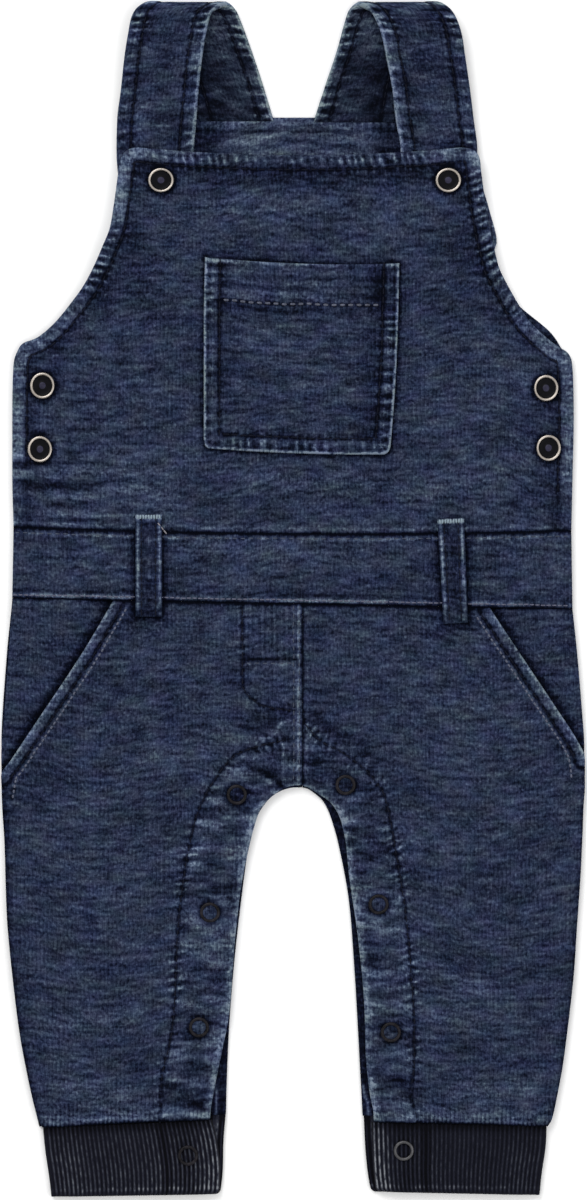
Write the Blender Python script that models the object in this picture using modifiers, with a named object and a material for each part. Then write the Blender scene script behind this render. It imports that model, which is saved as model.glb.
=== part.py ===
"""A baby's dungarees in washed sweat denim, laid flat on their back with the front up.

The back pieces lie flat on the surface. The front pieces lie over them as a second layer that
stands a few millimetres off the back and comes down to it at the sides, and the straps fold over
at the shoulders from the bib to the back's top edge. Rib cuffs are folded round the leg ends.

Lengths in the tables are millimetres: X across, left to right as seen from above, Y from the
cuffs to the straps, Z up from the surface. Left and right are the viewer's.
"""

import math
from collections import namedtuple

import bmesh
import bpy
from mathutils import Vector

MM = 0.001

# Cloth and how the layers lie
CLOTH = 1.4  # sweat denim, with its turned edges
STRAP = 2.4  # two layers, sewn edge to edge
LOOP = 1.6  # a folded strip
RIB_CLOTH = 1.4  # double rib, without the ribs that stand out of it
SEAM = 0.3  # between pieces that are sewn together, and between layers
LOFT = 2.6  # how far the front stands off the back, away from the sides
ROLL = 9.0  # how far in from a side the front reaches its full height
STRAP_LOFT = 3.1  # the same where the straps lie between bib and back
LAP_LOFT = 1.85  # the same where a leg's slanted pocket edge lies on the pocket's facing
LAP_REACH = 10.0
LAP_FADE = 14.0

# Rib cuffs
RIBS = 38
RIB_HEIGHT = 0.6
CUFF_LOFT = 1.6
FOLD_STEPS = 6
BACK_LAYER_STEPS = 6

# Gathers where each leg is sewn to its cuff
GATHERS = 12
GATHER_HEIGHT = 0.7
GATHER_REACH = 24.0

# How finely the shapes are cut
LEG_ROW_STEPS = 2
STRAP_ACROSS = 5
SNAP_STEPS = 16
RING_STEPS = 14

# A panel is a stack of rows. Each row runs from its left edge to its right edge, and `sag` is how
# far its middle lies above (or, when negative, below) the straight line between them.
Row = namedtuple("Row", "left_x left_y right_x right_y sag")

CENTRE_SEAM_X = 3.9
LEFT_OF_CENTRE = CENTRE_SEAM_X - SEAM / 2
RIGHT_OF_CENTRE = CENTRE_SEAM_X + SEAM / 2

WAIST_TOP = Row(-114.5, 29.8, 114.0, 28.3, -2.0)
WAIST_BOTTOM = Row(-115.0, 0.5, 114.5, -4.0, 0.0)

BIB = [
    Row(-115.0, 51.0, 114.5, 49.5, -1.2),
    Row(-115.0, 75.5, 115.0, 74.0, -0.6),
    Row(-114.5, 96.0, 114.5, 94.5, 0.0),
    Row(-113.0, 101.5, 113.0, 100.5, 0.0),
    Row(-110.5, 105.0, 108.0, 104.0, 0.0),
    Row(-104.5, 107.5, 102.5, 108.5, 0.0),
    Row(-97.5, 113.5, 96.5, 114.5, 0.0),
    Row(-90.5, 122.0, 92.0, 121.5, 0.0),
    Row(-85.5, 129.0, 88.0, 128.5, 0.0),
    Row(-81.5, 136.5, 84.5, 135.5, 0.0),
    Row(-78.0, 144.5, 82.5, 143.0, 0.0),
    Row(-75.0, 152.0, 80.5, 151.5, 0.0),
    Row(-73.5, 160.5, 79.0, 159.5, -0.3),
    Row(-72.5, 167.5, 78.0, 167.5, -1.0),
    Row(-71.5, 175.0, 77.0, 175.0, -1.8),
    Row(-71.0, 179.5, 76.5, 180.0, -2.3),
    Row(-69.5, 182.5, 75.0, 183.0, -2.6),
    Row(-66.5, 184.5, 72.0, 184.5, -2.7),
]

BACK = [
    Row(-115.0, 61.0, 114.5, 60.0, 0.0),
    Row(-114.5, 87.5, 114.5, 86.5, 0.0),
    Row(-114.0, 97.0, 114.0, 96.0, 0.0),
    Row(-111.5, 103.0, 110.5, 102.0, 0.0),
    Row(-102.0, 109.0, 105.0, 110.0, 0.0),
    Row(-88.5, 123.0, 91.0, 122.0, 0.0),
    Row(-82.0, 133.0, 85.0, 132.5, 0.0),
    Row(-77.5, 143.0, 82.5, 142.5, 0.0),
    Row(-75.5, 149.0, 83.5, 147.0, 0.0),
    Row(-73.0, 160.5, 80.5, 159.5, 0.0),
    Row(-70.5, 167.5, 77.5, 169.0, 0.0),
    Row(-65.5, 182.0, 71.0, 182.0, 0.0),
    Row(-55.5, 197.5, 60.5, 197.5, 0.0),
]

FRONT_LEG_LEFT = [
    Row(-87.0, -23.0, LEFT_OF_CENTRE, -24.0, 0.0),
    Row(-106.0, -51.5, LEFT_OF_CENTRE, -50.5, 0.0),
    Row(-115.0, -65.0, LEFT_OF_CENTRE, -62.5, 0.0),
    Row(-119.5, -72.0, LEFT_OF_CENTRE, -69.5, 0.0),
    Row(-119.2, -81.0, 3.0, -76.5, 0.0),
    Row(-118.8, -90.0, -3.0, -77.5, 0.0),
    Row(-118.3, -98.0, -9.0, -81.0, 0.0),
    Row(-118.0, -106.0, -14.0, -87.5, 0.0),
    Row(-117.7, -117.5, -18.0, -101.5, 0.0),
    Row(-117.0, -133.5, -21.5, -119.5, 0.0),
    Row(-115.0, -154.0, -24.0, -142.0, 0.0),
    Row(-112.5, -174.5, -26.0, -168.5, 0.0),
    Row(-110.0, -189.0, -29.5, -186.0, 0.0),
    Row(-106.5, -205.5, -32.0, -203.5, 0.0),
    Row(-103.5, -216.0, -33.5, -213.0, 0.4),
]

FRONT_LEG_RIGHT = [
    Row(RIGHT_OF_CENTRE, -24.0, 92.5, -21.5, 0.0),
    Row(RIGHT_OF_CENTRE, -50.5, 109.5, -47.0, 0.0),
    Row(RIGHT_OF_CENTRE, -62.5, 116.0, -57.0, 0.0),
    Row(RIGHT_OF_CENTRE, -69.5, 119.5, -65.0, 0.0),
    Row(4.5, -76.5, 119.5, -76.5, 0.0),
    Row(9.5, -78.5, 119.0, -85.0, 0.0),
    Row(15.5, -84.0, 118.7, -94.0, 0.0),
    Row(20.0, -90.0, 118.3, -103.0, 0.0),
    Row(23.0, -100.0, 117.7, -115.0, 0.0),
    Row(24.5, -115.0, 116.5, -131.5, 0.0),
    Row(27.5, -138.0, 115.0, -154.0, 0.0),
    Row(29.5, -166.5, 112.5, -176.0, 0.0),
    Row(30.5, -187.0, 110.5, -191.0, 0.0),
    Row(31.5, -202.0, 108.0, -204.5, 0.0),
    Row(32.0, -214.0, 105.0, -215.0, 0.4),
]

BACK_LEG_LEFT = [
    Row(-117.5, -25.0, LEFT_OF_CENTRE, -33.0, 0.0),
    Row(-119.5, -58.0, LEFT_OF_CENTRE, -60.0, 0.0),
    Row(-119.5, -70.0, LEFT_OF_CENTRE, -69.5, 0.0),
    Row(-119.2, -81.0, 3.0, -76.5, 0.0),
    Row(-118.8, -90.0, -3.5, -77.0, 0.0),
    Row(-118.2, -99.0, -10.5, -81.5, 0.0),
    Row(-117.8, -110.5, -16.0, -91.5, 0.0),
    Row(-117.4, -121.5, -18.5, -103.0, 0.0),
    Row(-116.0, -140.0, -21.5, -125.5, 0.0),
    Row(-114.5, -158.5, -24.0, -148.0, 0.0),
    Row(-111.5, -179.0, -26.0, -172.5, 0.0),
    Row(-108.5, -197.0, -27.0, -193.0, 0.0),
    Row(-104.0, -214.5, -27.5, -211.0, 0.0),
]

BACK_LEG_RIGHT = [
    Row(RIGHT_OF_CENTRE, -33.0, 116.5, -25.0, 0.0),
    Row(RIGHT_OF_CENTRE, -60.0, 119.0, -56.0, 0.0),
    Row(RIGHT_OF_CENTRE, -69.5, 119.5, -69.5, 0.0),
    Row(4.5, -76.5, 119.2, -80.5, 0.0),
    Row(7.0, -77.0, 118.8, -89.0, 0.0),
    Row(13.0, -82.0, 118.4, -98.0, 0.0),
    Row(16.5, -90.5, 118.0, -109.5, 0.0),
    Row(20.0, -103.0, 117.4, -120.0, 0.0),
    Row(23.5, -123.5, 116.0, -140.0, 0.0),
    Row(25.5, -148.0, 114.5, -158.5, 0.0),
    Row(27.0, -172.5, 112.0, -179.0, 0.0),
    Row(27.5, -193.0, 109.5, -197.0, 0.0),
    Row(28.5, -211.5, 105.0, -213.5, 0.0),
]

# The facings show between the slanted pocket edges and the side seams, and run under the legs.
FACING_LEFT = [
    Row(-116.5, -23.0, -77.0, -23.0, 0.0),
    Row(-118.5, -49.5, -96.0, -51.5, 0.0),
    Row(-119.5, -64.0, -107.0, -68.0, 0.0),
    Row(-119.3, -76.5, -114.0, -79.5, 0.0),
]
FACING_RIGHT = [
    Row(82.5, -24.0, 116.5, -23.0, 0.0),
    Row(99.5, -48.0, 118.5, -47.0, 0.0),
    Row(108.5, -61.0, 119.3, -60.0, 0.0),
    Row(114.5, -72.5, 119.3, -71.5, 0.0),
]
FACING_INNER_X = {"left": -63.0, "right": 71.0}  # at the waist seam
SLANT_TOP_X = {"left": -73.5, "right": 80.5}  # where a slanted pocket edge meets the waist seam

BIB_POCKET = [
    Row(-36.0, 140.0, 43.5, 137.5, -1.4),
    Row(-36.5, 114.5, 43.0, 114.5, -0.5),
    Row(-36.5, 90.0, 42.0, 90.0, 0.0),
    Row(-36.5, 67.5, 40.0, 66.0, 0.0),
    Row(-36.0, 64.0, 39.5, 61.5, 0.0),
    Row(-34.0, 61.5, 36.5, 59.0, 0.0),
]

BELT_LOOPS = {
    "left": [Row(-64.5, 35.0, -53.5, 35.0, 0.0), Row(-64.5, -7.0, -53.5, -7.0, 0.0)],
    "right": [Row(59.0, 33.0, 70.0, 33.5, 0.0), Row(61.5, -10.0, 71.5, -9.5, 0.0)],
}
LOOP_ARCH = 0.6  # how far a loop's middle stands off the waistband
LOOP_STEPS = 6

# A strap, from its end behind the bib, over the shoulder and down to the back's top edge: its two
# edges, and the height of the middle of its cloth.
StrapRow = namedtuple("StrapRow", "outer_x outer_y inner_x inner_y z")

STRAPS = {
    "left": [
        StrapRow(-69.5, 158.5, -40.5, 157.5, 3.1),
        StrapRow(-71.5, 172.5, -40.0, 172.5, 3.1),
        StrapRow(-72.3, 184.0, -40.5, 184.0, 3.1),
        StrapRow(-72.0, 196.5, -39.5, 196.5, 3.7),
        StrapRow(-70.5, 208.5, -38.5, 209.5, 4.7),
        StrapRow(-69.0, 222.0, -37.0, 222.5, 5.7),
        StrapRow(-67.5, 231.5, -35.5, 231.5, 6.2),
        StrapRow(-66.0, 238.5, -33.5, 239.5, 6.1),
        StrapRow(-63.5, 242.3, -30.0, 242.3, 5.1),
        StrapRow(-59.5, 243.6, -26.5, 243.5, 3.7),
        StrapRow(-56.5, 241.5, -23.5, 241.5, 2.2),
        StrapRow(-53.0, 236.0, -21.0, 236.0, 1.4),
        StrapRow(-48.5, 225.0, -17.0, 225.0, 1.2),
        StrapRow(-43.5, 211.5, -12.5, 211.5, 1.2),
        StrapRow(-39.0, 197.8, -8.0, 197.8, 1.2),
    ],
    "right": [
        StrapRow(74.5, 158.5, 45.0, 157.5, 3.1),
        StrapRow(75.5, 172.5, 44.0, 172.5, 3.1),
        StrapRow(75.5, 184.0, 44.0, 184.0, 3.1),
        StrapRow(74.0, 196.5, 42.0, 196.5, 3.7),
        StrapRow(72.5, 208.5, 40.5, 209.5, 4.7),
        StrapRow(70.5, 222.0, 38.0, 222.0, 5.7),
        StrapRow(69.0, 231.5, 36.0, 231.5, 6.2),
        StrapRow(66.5, 238.5, 32.5, 239.5, 6.1),
        StrapRow(63.5, 242.3, 29.0, 242.3, 5.1),
        StrapRow(59.5, 243.6, 26.0, 243.5, 3.7),
        StrapRow(56.0, 241.5, 23.0, 241.5, 2.2),
        StrapRow(52.5, 236.0, 21.0, 236.0, 1.4),
        StrapRow(48.5, 225.0, 18.0, 225.0, 1.2),
        StrapRow(44.0, 211.5, 13.5, 211.5, 1.2),
        StrapRow(40.5, 197.8, 8.5, 197.8, 1.2),
    ],
}
# A cuff is one band, folded at the leg's outer side: its outer fold, the inner end of its front
# layer and the inner end of its back layer.
CuffRow = namedtuple("CuffRow", "outer_x outer_y front_x front_y back_x back_y")

CUFFS = {
    "left": [
        CuffRow(-102.5, -216.6, -33.2, -213.6, -27.6, -211.6),
        CuffRow(-101.5, -226.0, -31.0, -222.5, -28.5, -222.0),
        CuffRow(-100.0, -236.0, -29.8, -234.0, -28.8, -234.0),
        CuffRow(-99.0, -244.6, -30.2, -243.6, -29.8, -243.6),
    ],
    "right": [
        CuffRow(104.0, -215.6, 32.2, -214.6, 29.0, -212.1),
        CuffRow(103.5, -224.5, 32.5, -223.5, 29.5, -223.0),
        CuffRow(102.0, -234.5, 33.0, -234.0, 30.5, -234.0),
        CuffRow(101.0, -243.9, 34.0, -242.6, 32.0, -242.6),
    ],
}

# Soft folds across the front: from one end to the other, half-width and height.
Fold = namedtuple("Fold", "from_x from_y to_x to_y width height")

FOLDS = [
    Fold(-4.0, -66.0, -40.0, -48.0, 7.0, 0.7),
    Fold(12.0, -68.0, 44.0, -52.0, 7.0, 0.6),
    Fold(-24.0, -96.0, -66.0, -82.0, 8.0, 0.6),
    Fold(30.0, -100.0, 70.0, -86.0, 8.0, 0.6),
    Fold(-95.0, -92.0, -78.0, -150.0, 9.0, 0.5),
    Fold(96.0, -86.0, 84.0, -140.0, 9.0, 0.5),
    Fold(-44.0, -150.0, -88.0, -162.0, 8.0, 0.5),
    Fold(48.0, -160.0, 90.0, -170.0, 8.0, 0.5),
    Fold(-84.0, 108.0, -62.0, 70.0, 9.0, 0.5),
    Fold(84.0, 106.0, 64.0, 66.0, 9.0, 0.5),
]

# Snaps: name, x and y. The large ones close the straps and the sides, the rings the inseams.
SNAPS = {
    "bib_snap_left": (-54.0, 171.5),
    "bib_snap_right": (63.5, 171.5),
    "side_snap_left_upper": (-102.5, 87.5),
    "side_snap_left_lower": (-103.5, 61.5),
    "side_snap_right_upper": (103.5, 86.5),
    "side_snap_right_lower": (104.5, 62.0),
}
INSEAM_RINGS = {
    "inseam_ring_left_top": (-23.0, -79.8),
    "inseam_ring_left_middle": (-34.0, -128.0),
    "inseam_ring_left_bottom": (-38.5, -175.0),
    "inseam_ring_right_top": (21.5, -75.8),
    "inseam_ring_right_middle": (35.0, -124.7),
    "inseam_ring_right_bottom": (40.0, -177.0),
}
CUFF_RINGS = {"cuff_ring_left": (-43.0, -227.5), "cuff_ring_right": (45.3, -225.5)}

# Turned profiles: radius and height, down the outer side.
SNAP_PROFILE = [
    (0.0, 0.9),
    (1.2, 0.8),
    (1.6, 0.45),
    (4.0, 0.45),
    (4.4, 1.1),
    (4.9, 1.3),
    (5.3, 1.0),
    (5.5, 0.4),
    (5.5, 0.0),
    (0.0, 0.0),
]
RING_PROFILE = [(3.75, 0.6), (4.15, 0.35), (4.15, 0.0), (3.35, 0.0), (3.35, 0.35), (3.75, 0.6)]

Finish = namedtuple("Finish", "colour roughness metallic")

FINISHES = {
    "denim": Finish((0.028, 0.045, 0.095), 0.95, 0.0),
    "denim_inside": Finish((0.016, 0.024, 0.052), 0.95, 0.0),
    "rib": Finish((0.010, 0.011, 0.021), 0.95, 0.0),
    "snap": Finish((0.42, 0.38, 0.33), 0.35, 1.0),
    "dark_ring": Finish((0.10, 0.075, 0.065), 0.45, 1.0),
}


# ---------------------------------------------------------------- numbers and curves


def mix(start, end, share):
    return start + (end - start) * share


def smooth(share):
    """0 to 1, level at both ends."""
    share = min(max(share, 0.0), 1.0)
    return share * share * (3.0 - 2.0 * share)


def shifted(row, up):
    return row._replace(left_y=row.left_y + up, right_y=row.right_y + up)


def height_of(row, x):
    """The row's y at x."""
    share = (x - row.left_x) / (row.right_x - row.left_x)
    return mix(row.left_y, row.right_y, share) + row.sag * 4.0 * share * (1.0 - share)


def stretch(row, left_x, right_x):
    """The part of a row between two x."""
    return Row(left_x, height_of(row, left_x), right_x, height_of(row, right_x), 0.0)


def through(before, start, end, after, share):
    """A Catmull-Rom curve from start to end."""
    return 0.5 * (
        2.0 * start
        + (end - before) * share
        + (2.0 * before - 5.0 * start + 4.0 * end - after) * share**2
        + (3.0 * start - before - 3.0 * end + after) * share**3
    )


def between(rows, along):
    """The row at `along`, 0 to 1, on smooth curves through the rows."""
    place = min(max(along, 0.0), 1.0) * (len(rows) - 1)
    first = min(int(place), len(rows) - 2)
    last = len(rows) - 1
    near = (rows[min(max(first + step, 0), last)] for step in (-1, 0, 1, 2))
    return type(rows[0])(*(through(*values, place - first) for values in zip(*near)))


def on_panel(rows, across, along):
    row = between(rows, along)
    x = mix(row.left_x, row.right_x, across)
    y = mix(row.left_y, row.right_y, across) + row.sag * 4.0 * across * (1.0 - across)
    return x, y


def distance_to_line(x, y, points):
    """From (x, y) to a line through points."""
    nearest = math.inf
    for (ax, ay), (bx, by) in zip(points, points[1:]):
        length = (bx - ax) ** 2 + (by - ay) ** 2
        share = ((x - ax) * (bx - ax) + (y - ay) * (by - ay)) / length
        share = min(max(share, 0.0), 1.0)
        nearest = min(nearest, math.hypot(x - mix(ax, bx, share), y - mix(ay, by, share)))
    return nearest


def left_edge(rows):
    return [(row.left_x, row.left_y) for row in rows]


def right_edge(rows):
    return [(row.right_x, row.right_y) for row in rows]


# ---------------------------------------------------------------- how high the front lies

SLANT_ROWS = 4  # a leg's rows beside its slanted pocket edge

CLOSED_EDGES = [
    left_edge(BIB[::-1] + [WAIST_TOP, WAIST_BOTTOM] + FACING_LEFT[:3] + FRONT_LEG_LEFT[3:]),
    right_edge(BIB[::-1] + [WAIST_TOP, WAIST_BOTTOM] + FACING_RIGHT[:3] + FRONT_LEG_RIGHT[3:]),
    right_edge(FRONT_LEG_LEFT[4:])[::-1] + left_edge(FRONT_LEG_RIGHT[4:]),
]
SLANTS = {
    "left": [(SLANT_TOP_X["left"], height_of(WAIST_BOTTOM, SLANT_TOP_X["left"]))]
    + left_edge(FRONT_LEG_LEFT[:SLANT_ROWS]),
    "right": [(SLANT_TOP_X["right"], height_of(WAIST_BOTTOM, SLANT_TOP_X["right"]))]
    + right_edge(FRONT_LEG_RIGHT[:SLANT_ROWS]),
}
CUFF_SEAM_Y = -215.0


def roll(x, y):
    """How far the front has risen at (x, y): 0 at its closed edges, 1 well inside."""
    share = min(min(distance_to_line(x, y, edge) for edge in CLOSED_EDGES) / ROLL, 1.0)
    return share * (2.0 - share)


def fold_lift(x, y):
    lift = 0.0
    for fold in FOLDS:
        along_x, along_y = fold.to_x - fold.from_x, fold.to_y - fold.from_y
        length = math.hypot(along_x, along_y)
        along = ((x - fold.from_x) * along_x + (y - fold.from_y) * along_y) / length
        aside = ((x - fold.from_x) * along_y - (y - fold.from_y) * along_x) / length
        past_ends = max(-along, along - length, 0.0)
        lift += fold.height * math.exp(-((aside / fold.width) ** 2) - (past_ends / fold.width) ** 2)
    return lift


def front_underside(x, y):
    """The height of the front's underside over the surface."""
    rise = LOFT * roll(x, y)
    for slant in SLANTS.values():
        beyond = distance_to_line(x, y, slant) - LAP_REACH
        rise = max(rise, LAP_LOFT * (1.0 - smooth(beyond / LAP_FADE)))
    rise = mix(rise, STRAP_LOFT, smooth((y - 112.0) / 38.0))
    return CLOTH + SEAM + rise + fold_lift(x, y) * roll(x, y)


def front_top(x, y):
    return front_underside(x, y) + CLOTH


def leg_underside(x, y, across):
    """The front's underside, with the gathers at the cuff."""
    near_cuff = smooth(1.0 - (y - CUFF_SEAM_Y) / GATHER_REACH)
    inside = min(across, 1.0 - across) * 2.0 * GATHERS
    wave = 0.5 - 0.5 * math.cos(2.0 * math.pi * GATHERS * across)
    return front_underside(x, y) + GATHER_HEIGHT * near_cuff * wave * min(inside, 1.0)


def facing_underside(x, y, side):
    """The facing lies low under the leg and rises to the waistband beside it."""
    slant = SLANTS[side]
    edge_x = slant[-1][0]
    for (upper_x, upper_y), (lower_x, lower_y) in zip(slant, slant[1:]):
        if lower_y <= y:
            edge_x = mix(upper_x, lower_x, (upper_y - y) / (upper_y - lower_y))
            break
    if abs(x) <= abs(edge_x):
        return CLOTH + SEAM
    near_waist = smooth((y + 20.0) / 16.0)
    clear_of_leg = smooth((distance_to_line(x, y, slant) - 2.0) / 12.0)
    return CLOTH + SEAM + LOFT * roll(x, y) * near_waist * clear_of_leg


# ---------------------------------------------------------------- scene and shapes


def clear_scene():
    for old in list(bpy.data.objects):
        bpy.data.objects.remove(old)


def make_materials():
    made = {}
    for name, finish in FINISHES.items():
        material = bpy.data.materials.new(name)
        material.use_nodes = True
        shader = material.node_tree.nodes["Principled BSDF"]
        shader.inputs["Base Color"].default_value = (*finish.colour, 1.0)
        shader.inputs["Roughness"].default_value = finish.roughness
        shader.inputs["Metallic"].default_value = finish.metallic
        made[name] = material
    return made


def add_object(name, mesh, material, collection):
    mesh.materials.append(material)
    made = bpy.data.objects.new(name, mesh)
    collection.objects.link(made)
    return made


def slab(name, across, along, place):
    """A closed sheet of cloth: a slab cut into `across` by `along` squares, whose points are
    moved to place(u, v, side), where side is 0 on one face of the cloth and 1 on the other."""
    shape = bmesh.new()
    bmesh.ops.create_grid(shape, x_segments=across, y_segments=along, size=0.5)
    raised = bmesh.ops.extrude_face_region(shape, geom=shape.faces[:])
    bmesh.ops.translate(
        shape,
        vec=(0.0, 0.0, 1.0),
        verts=[item for item in raised["geom"] if isinstance(item, bmesh.types.BMVert)],
    )
    bmesh.ops.recalc_face_normals(shape, faces=shape.faces[:])
    for vert in shape.verts:
        u, v, side = vert.co.x + 0.5, vert.co.y + 0.5, round(vert.co.z)
        vert.co = Vector(place(u, v, side)) * MM
    if shape.calc_volume(signed=True) < 0.0:
        bmesh.ops.reverse_faces(shape, faces=shape.faces[:])
    mesh = bpy.data.meshes.new(name)
    shape.to_mesh(mesh)
    shape.free()
    return mesh


def eased(share):
    """Moves evenly spaced columns towards both edges of a panel."""
    return mix(share, 0.5 - 0.5 * math.cos(math.pi * share), 0.8)


def panel(name, rows, across, underside, thickness=CLOTH, ease=eased, row_steps=1):
    """A flat-cut piece, its rows one above the other, `thickness` above its underside."""

    def place(u, v, side):
        u = ease(u)
        x, y = on_panel(rows, u, v)
        return x, y, underside(x, y, u, v) + side * thickness

    return slab(name, across, row_steps * (len(rows) - 1), place)


def even(share):
    return share


def strap(name, rows):
    """A double strip along its rows, half its thickness to each side of them."""

    def middle(u, v):
        row = between(rows, v)
        return Vector(
            (mix(row.outer_x, row.inner_x, u), mix(row.outer_y, row.inner_y, u), row.z)
        )

    step = 0.5 / (len(rows) - 1)

    def place(u, v, side):
        across = middle(1.0, v) - middle(0.0, v)
        along = middle(u, v + step) - middle(u, v - step)
        out = across.cross(along).normalized()
        return middle(u, v) + out * (side - 0.5) * STRAP

    return slab(name, STRAP_ACROSS, len(rows) - 1, place)


def cuff(name, rows):
    """A rib band from the back layer's inner end, round the outer fold, to the front layer's."""
    front_steps = 2 * RIBS
    steps = BACK_LAYER_STEPS + FOLD_STEPS + front_steps
    fold_radius = (2.0 * RIB_CLOTH + SEAM) / 2.0

    def place(u, v, side):
        row = between(rows, v)
        inward = math.copysign(1.0, -row.outer_x)
        fold_x = row.outer_x + inward * fold_radius
        step = round(u * steps)
        if step <= BACK_LAYER_STEPS:
            share = step / BACK_LAYER_STEPS
            x = mix(row.back_x, fold_x, share)
            y = mix(row.back_y, row.outer_y, share)
            return x, y, side * RIB_CLOTH
        if step < BACK_LAYER_STEPS + FOLD_STEPS:
            turn = math.pi * (step - BACK_LAYER_STEPS) / FOLD_STEPS
            radius = fold_radius - side * RIB_CLOTH
            x = fold_x - inward * radius * math.sin(turn)
            return x, row.outer_y, fold_radius - radius * math.cos(turn)
        column = step - BACK_LAYER_STEPS - FOLD_STEPS
        share = column / front_steps
        x = mix(fold_x, row.front_x, share)
        y = mix(row.outer_y, row.front_y, share)
        loft = CUFF_LOFT * smooth(share * 8.0) * smooth((1.0 - share) * 8.0)
        rib = RIB_HEIGHT * (column % 2) * (1 - side)
        return x, y, RIB_CLOTH + SEAM + loft + (1 - side) * RIB_CLOTH + rib

    return slab(name, steps, len(rows) - 1, place)


def cuff_top(x, rows):
    """The height of the ribs' crests."""
    top = rows[0]
    share = (x - top.outer_x) / (top.front_x - top.outer_x)
    loft = CUFF_LOFT * smooth(share * 8.0) * smooth((1.0 - share) * 8.0)
    return 2.0 * RIB_CLOTH + SEAM + loft + RIB_HEIGHT


def turned(name, profile, steps, material, collection):
    """A profile in the XZ plane, turned about Z."""
    mesh = bpy.data.meshes.new(name)
    points = [(radius * MM, 0.0, height * MM) for radius, height in profile]
    closed = profile[0] == profile[-1]
    if closed:
        points.pop()
    edges = [(i, i + 1) for i in range(len(points) - 1)]
    if closed:
        edges.append((len(points) - 1, 0))
    mesh.from_pydata(points, edges, [])
    made = add_object(name, mesh, material, collection)
    screw = made.modifiers.new("Turn", "SCREW")
    screw.steps = screw.render_steps = steps
    screw.use_merge_vertices = True
    screw.merge_threshold = 0.00001
    screw.use_smooth_shade = True
    return made


def highest_under(x, y, radius, top):
    """The highest point of a surface within a snap's round."""
    heights = [top(x, y)]
    for step in range(12):
        turn = 2.0 * math.pi * step / 12
        heights.append(top(x + radius * math.cos(turn), y + radius * math.sin(turn)))
    return max(heights)


# ---------------------------------------------------------------- the pieces


def flat(x, y, u, v):
    return 0.0


def on_front(x, y, u, v):
    return front_underside(x, y)


def add_back(materials, collection):
    waist_top = shifted(WAIST_TOP, SEAM / 2)
    inner = materials["denim_inside"]
    mesh = panel("back_panel", [waist_top] + BACK, 10, flat)
    add_object("back_panel", mesh, inner, collection)
    band = [shifted(WAIST_TOP, -SEAM / 2), shifted(WAIST_BOTTOM, SEAM / 2)]
    add_object("back_waistband", panel("back_waistband", band, 10, flat), inner, collection)
    waist = shifted(WAIST_BOTTOM, -SEAM / 2)
    legs = {
        "left": [stretch(waist, waist.left_x, LEFT_OF_CENTRE)] + BACK_LEG_LEFT,
        "right": [stretch(waist, RIGHT_OF_CENTRE, waist.right_x)] + BACK_LEG_RIGHT,
    }
    for side, rows in legs.items():
        name = f"back_leg_{side}"
        leg = panel(name, rows, 8, flat, row_steps=LEG_ROW_STEPS)
        add_object(name, leg, inner, collection)


def add_bib(materials, collection):
    rows = [shifted(WAIST_TOP, SEAM / 2)] + BIB
    add_object("front_bib", panel("front_bib", rows, 16, on_front), materials["denim"], collection)

    def on_bib(x, y, u, v):
        return front_top(x, y) + SEAM

    pocket = panel("bib_pocket", BIB_POCKET, 10, on_bib)
    add_object("bib_pocket", pocket, materials["denim"], collection)


def add_waistband(materials, collection):
    rows = [
        shifted(WAIST_TOP, -SEAM / 2),
        between([WAIST_TOP, WAIST_BOTTOM], 0.5),
        shifted(WAIST_BOTTOM, SEAM / 2),
    ]
    band = panel("front_waistband", rows, 20, on_front)
    add_object("front_waistband", band, materials["denim"], collection)

    def on_waistband(x, y, u, v):
        return front_top(x, y) + SEAM + LOOP_ARCH * math.sin(math.pi * v)

    for side, ends in BELT_LOOPS.items():
        name = f"belt_loop_{side}"
        rows = [between(ends, step / LOOP_STEPS) for step in range(LOOP_STEPS + 1)]
        loop = panel(name, rows, 3, on_waistband, thickness=LOOP, ease=even)
        add_object(name, loop, materials["denim"], collection)


def add_front_legs(materials, collection):
    waist = shifted(WAIST_BOTTOM, -SEAM / 2)
    legs = {
        "left": [stretch(waist, SLANT_TOP_X["left"], LEFT_OF_CENTRE)] + FRONT_LEG_LEFT,
        "right": [stretch(waist, RIGHT_OF_CENTRE, SLANT_TOP_X["right"])] + FRONT_LEG_RIGHT,
    }
    facings = {
        "left": [stretch(waist, waist.left_x, FACING_INNER_X["left"])] + FACING_LEFT,
        "right": [stretch(waist, FACING_INNER_X["right"], waist.right_x)] + FACING_RIGHT,
    }

    def on_leg(x, y, u, v):
        return leg_underside(x, y, u)

    for side, rows in legs.items():
        name = f"front_leg_{side}"
        leg = panel(name, rows, 2 * GATHERS, on_leg, ease=even, row_steps=LEG_ROW_STEPS)
        add_object(name, leg, materials["denim"], collection)

    for side, rows in facings.items():
        name = f"side_pocket_facing_{side}"

        def on_back(x, y, u, v, side=side):
            return facing_underside(x, y, side)

        add_object(name, panel(name, rows, 6, on_back), materials["denim"], collection)


def add_cuffs(materials, collection):
    for side, rows in CUFFS.items():
        name = f"cuff_{side}"
        add_object(name, cuff(name, rows), materials["rib"], collection)


def add_straps(materials, collection):
    for side, rows in STRAPS.items():
        name = f"strap_{side}"
        add_object(name, strap(name, rows), materials["denim"], collection)


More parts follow.
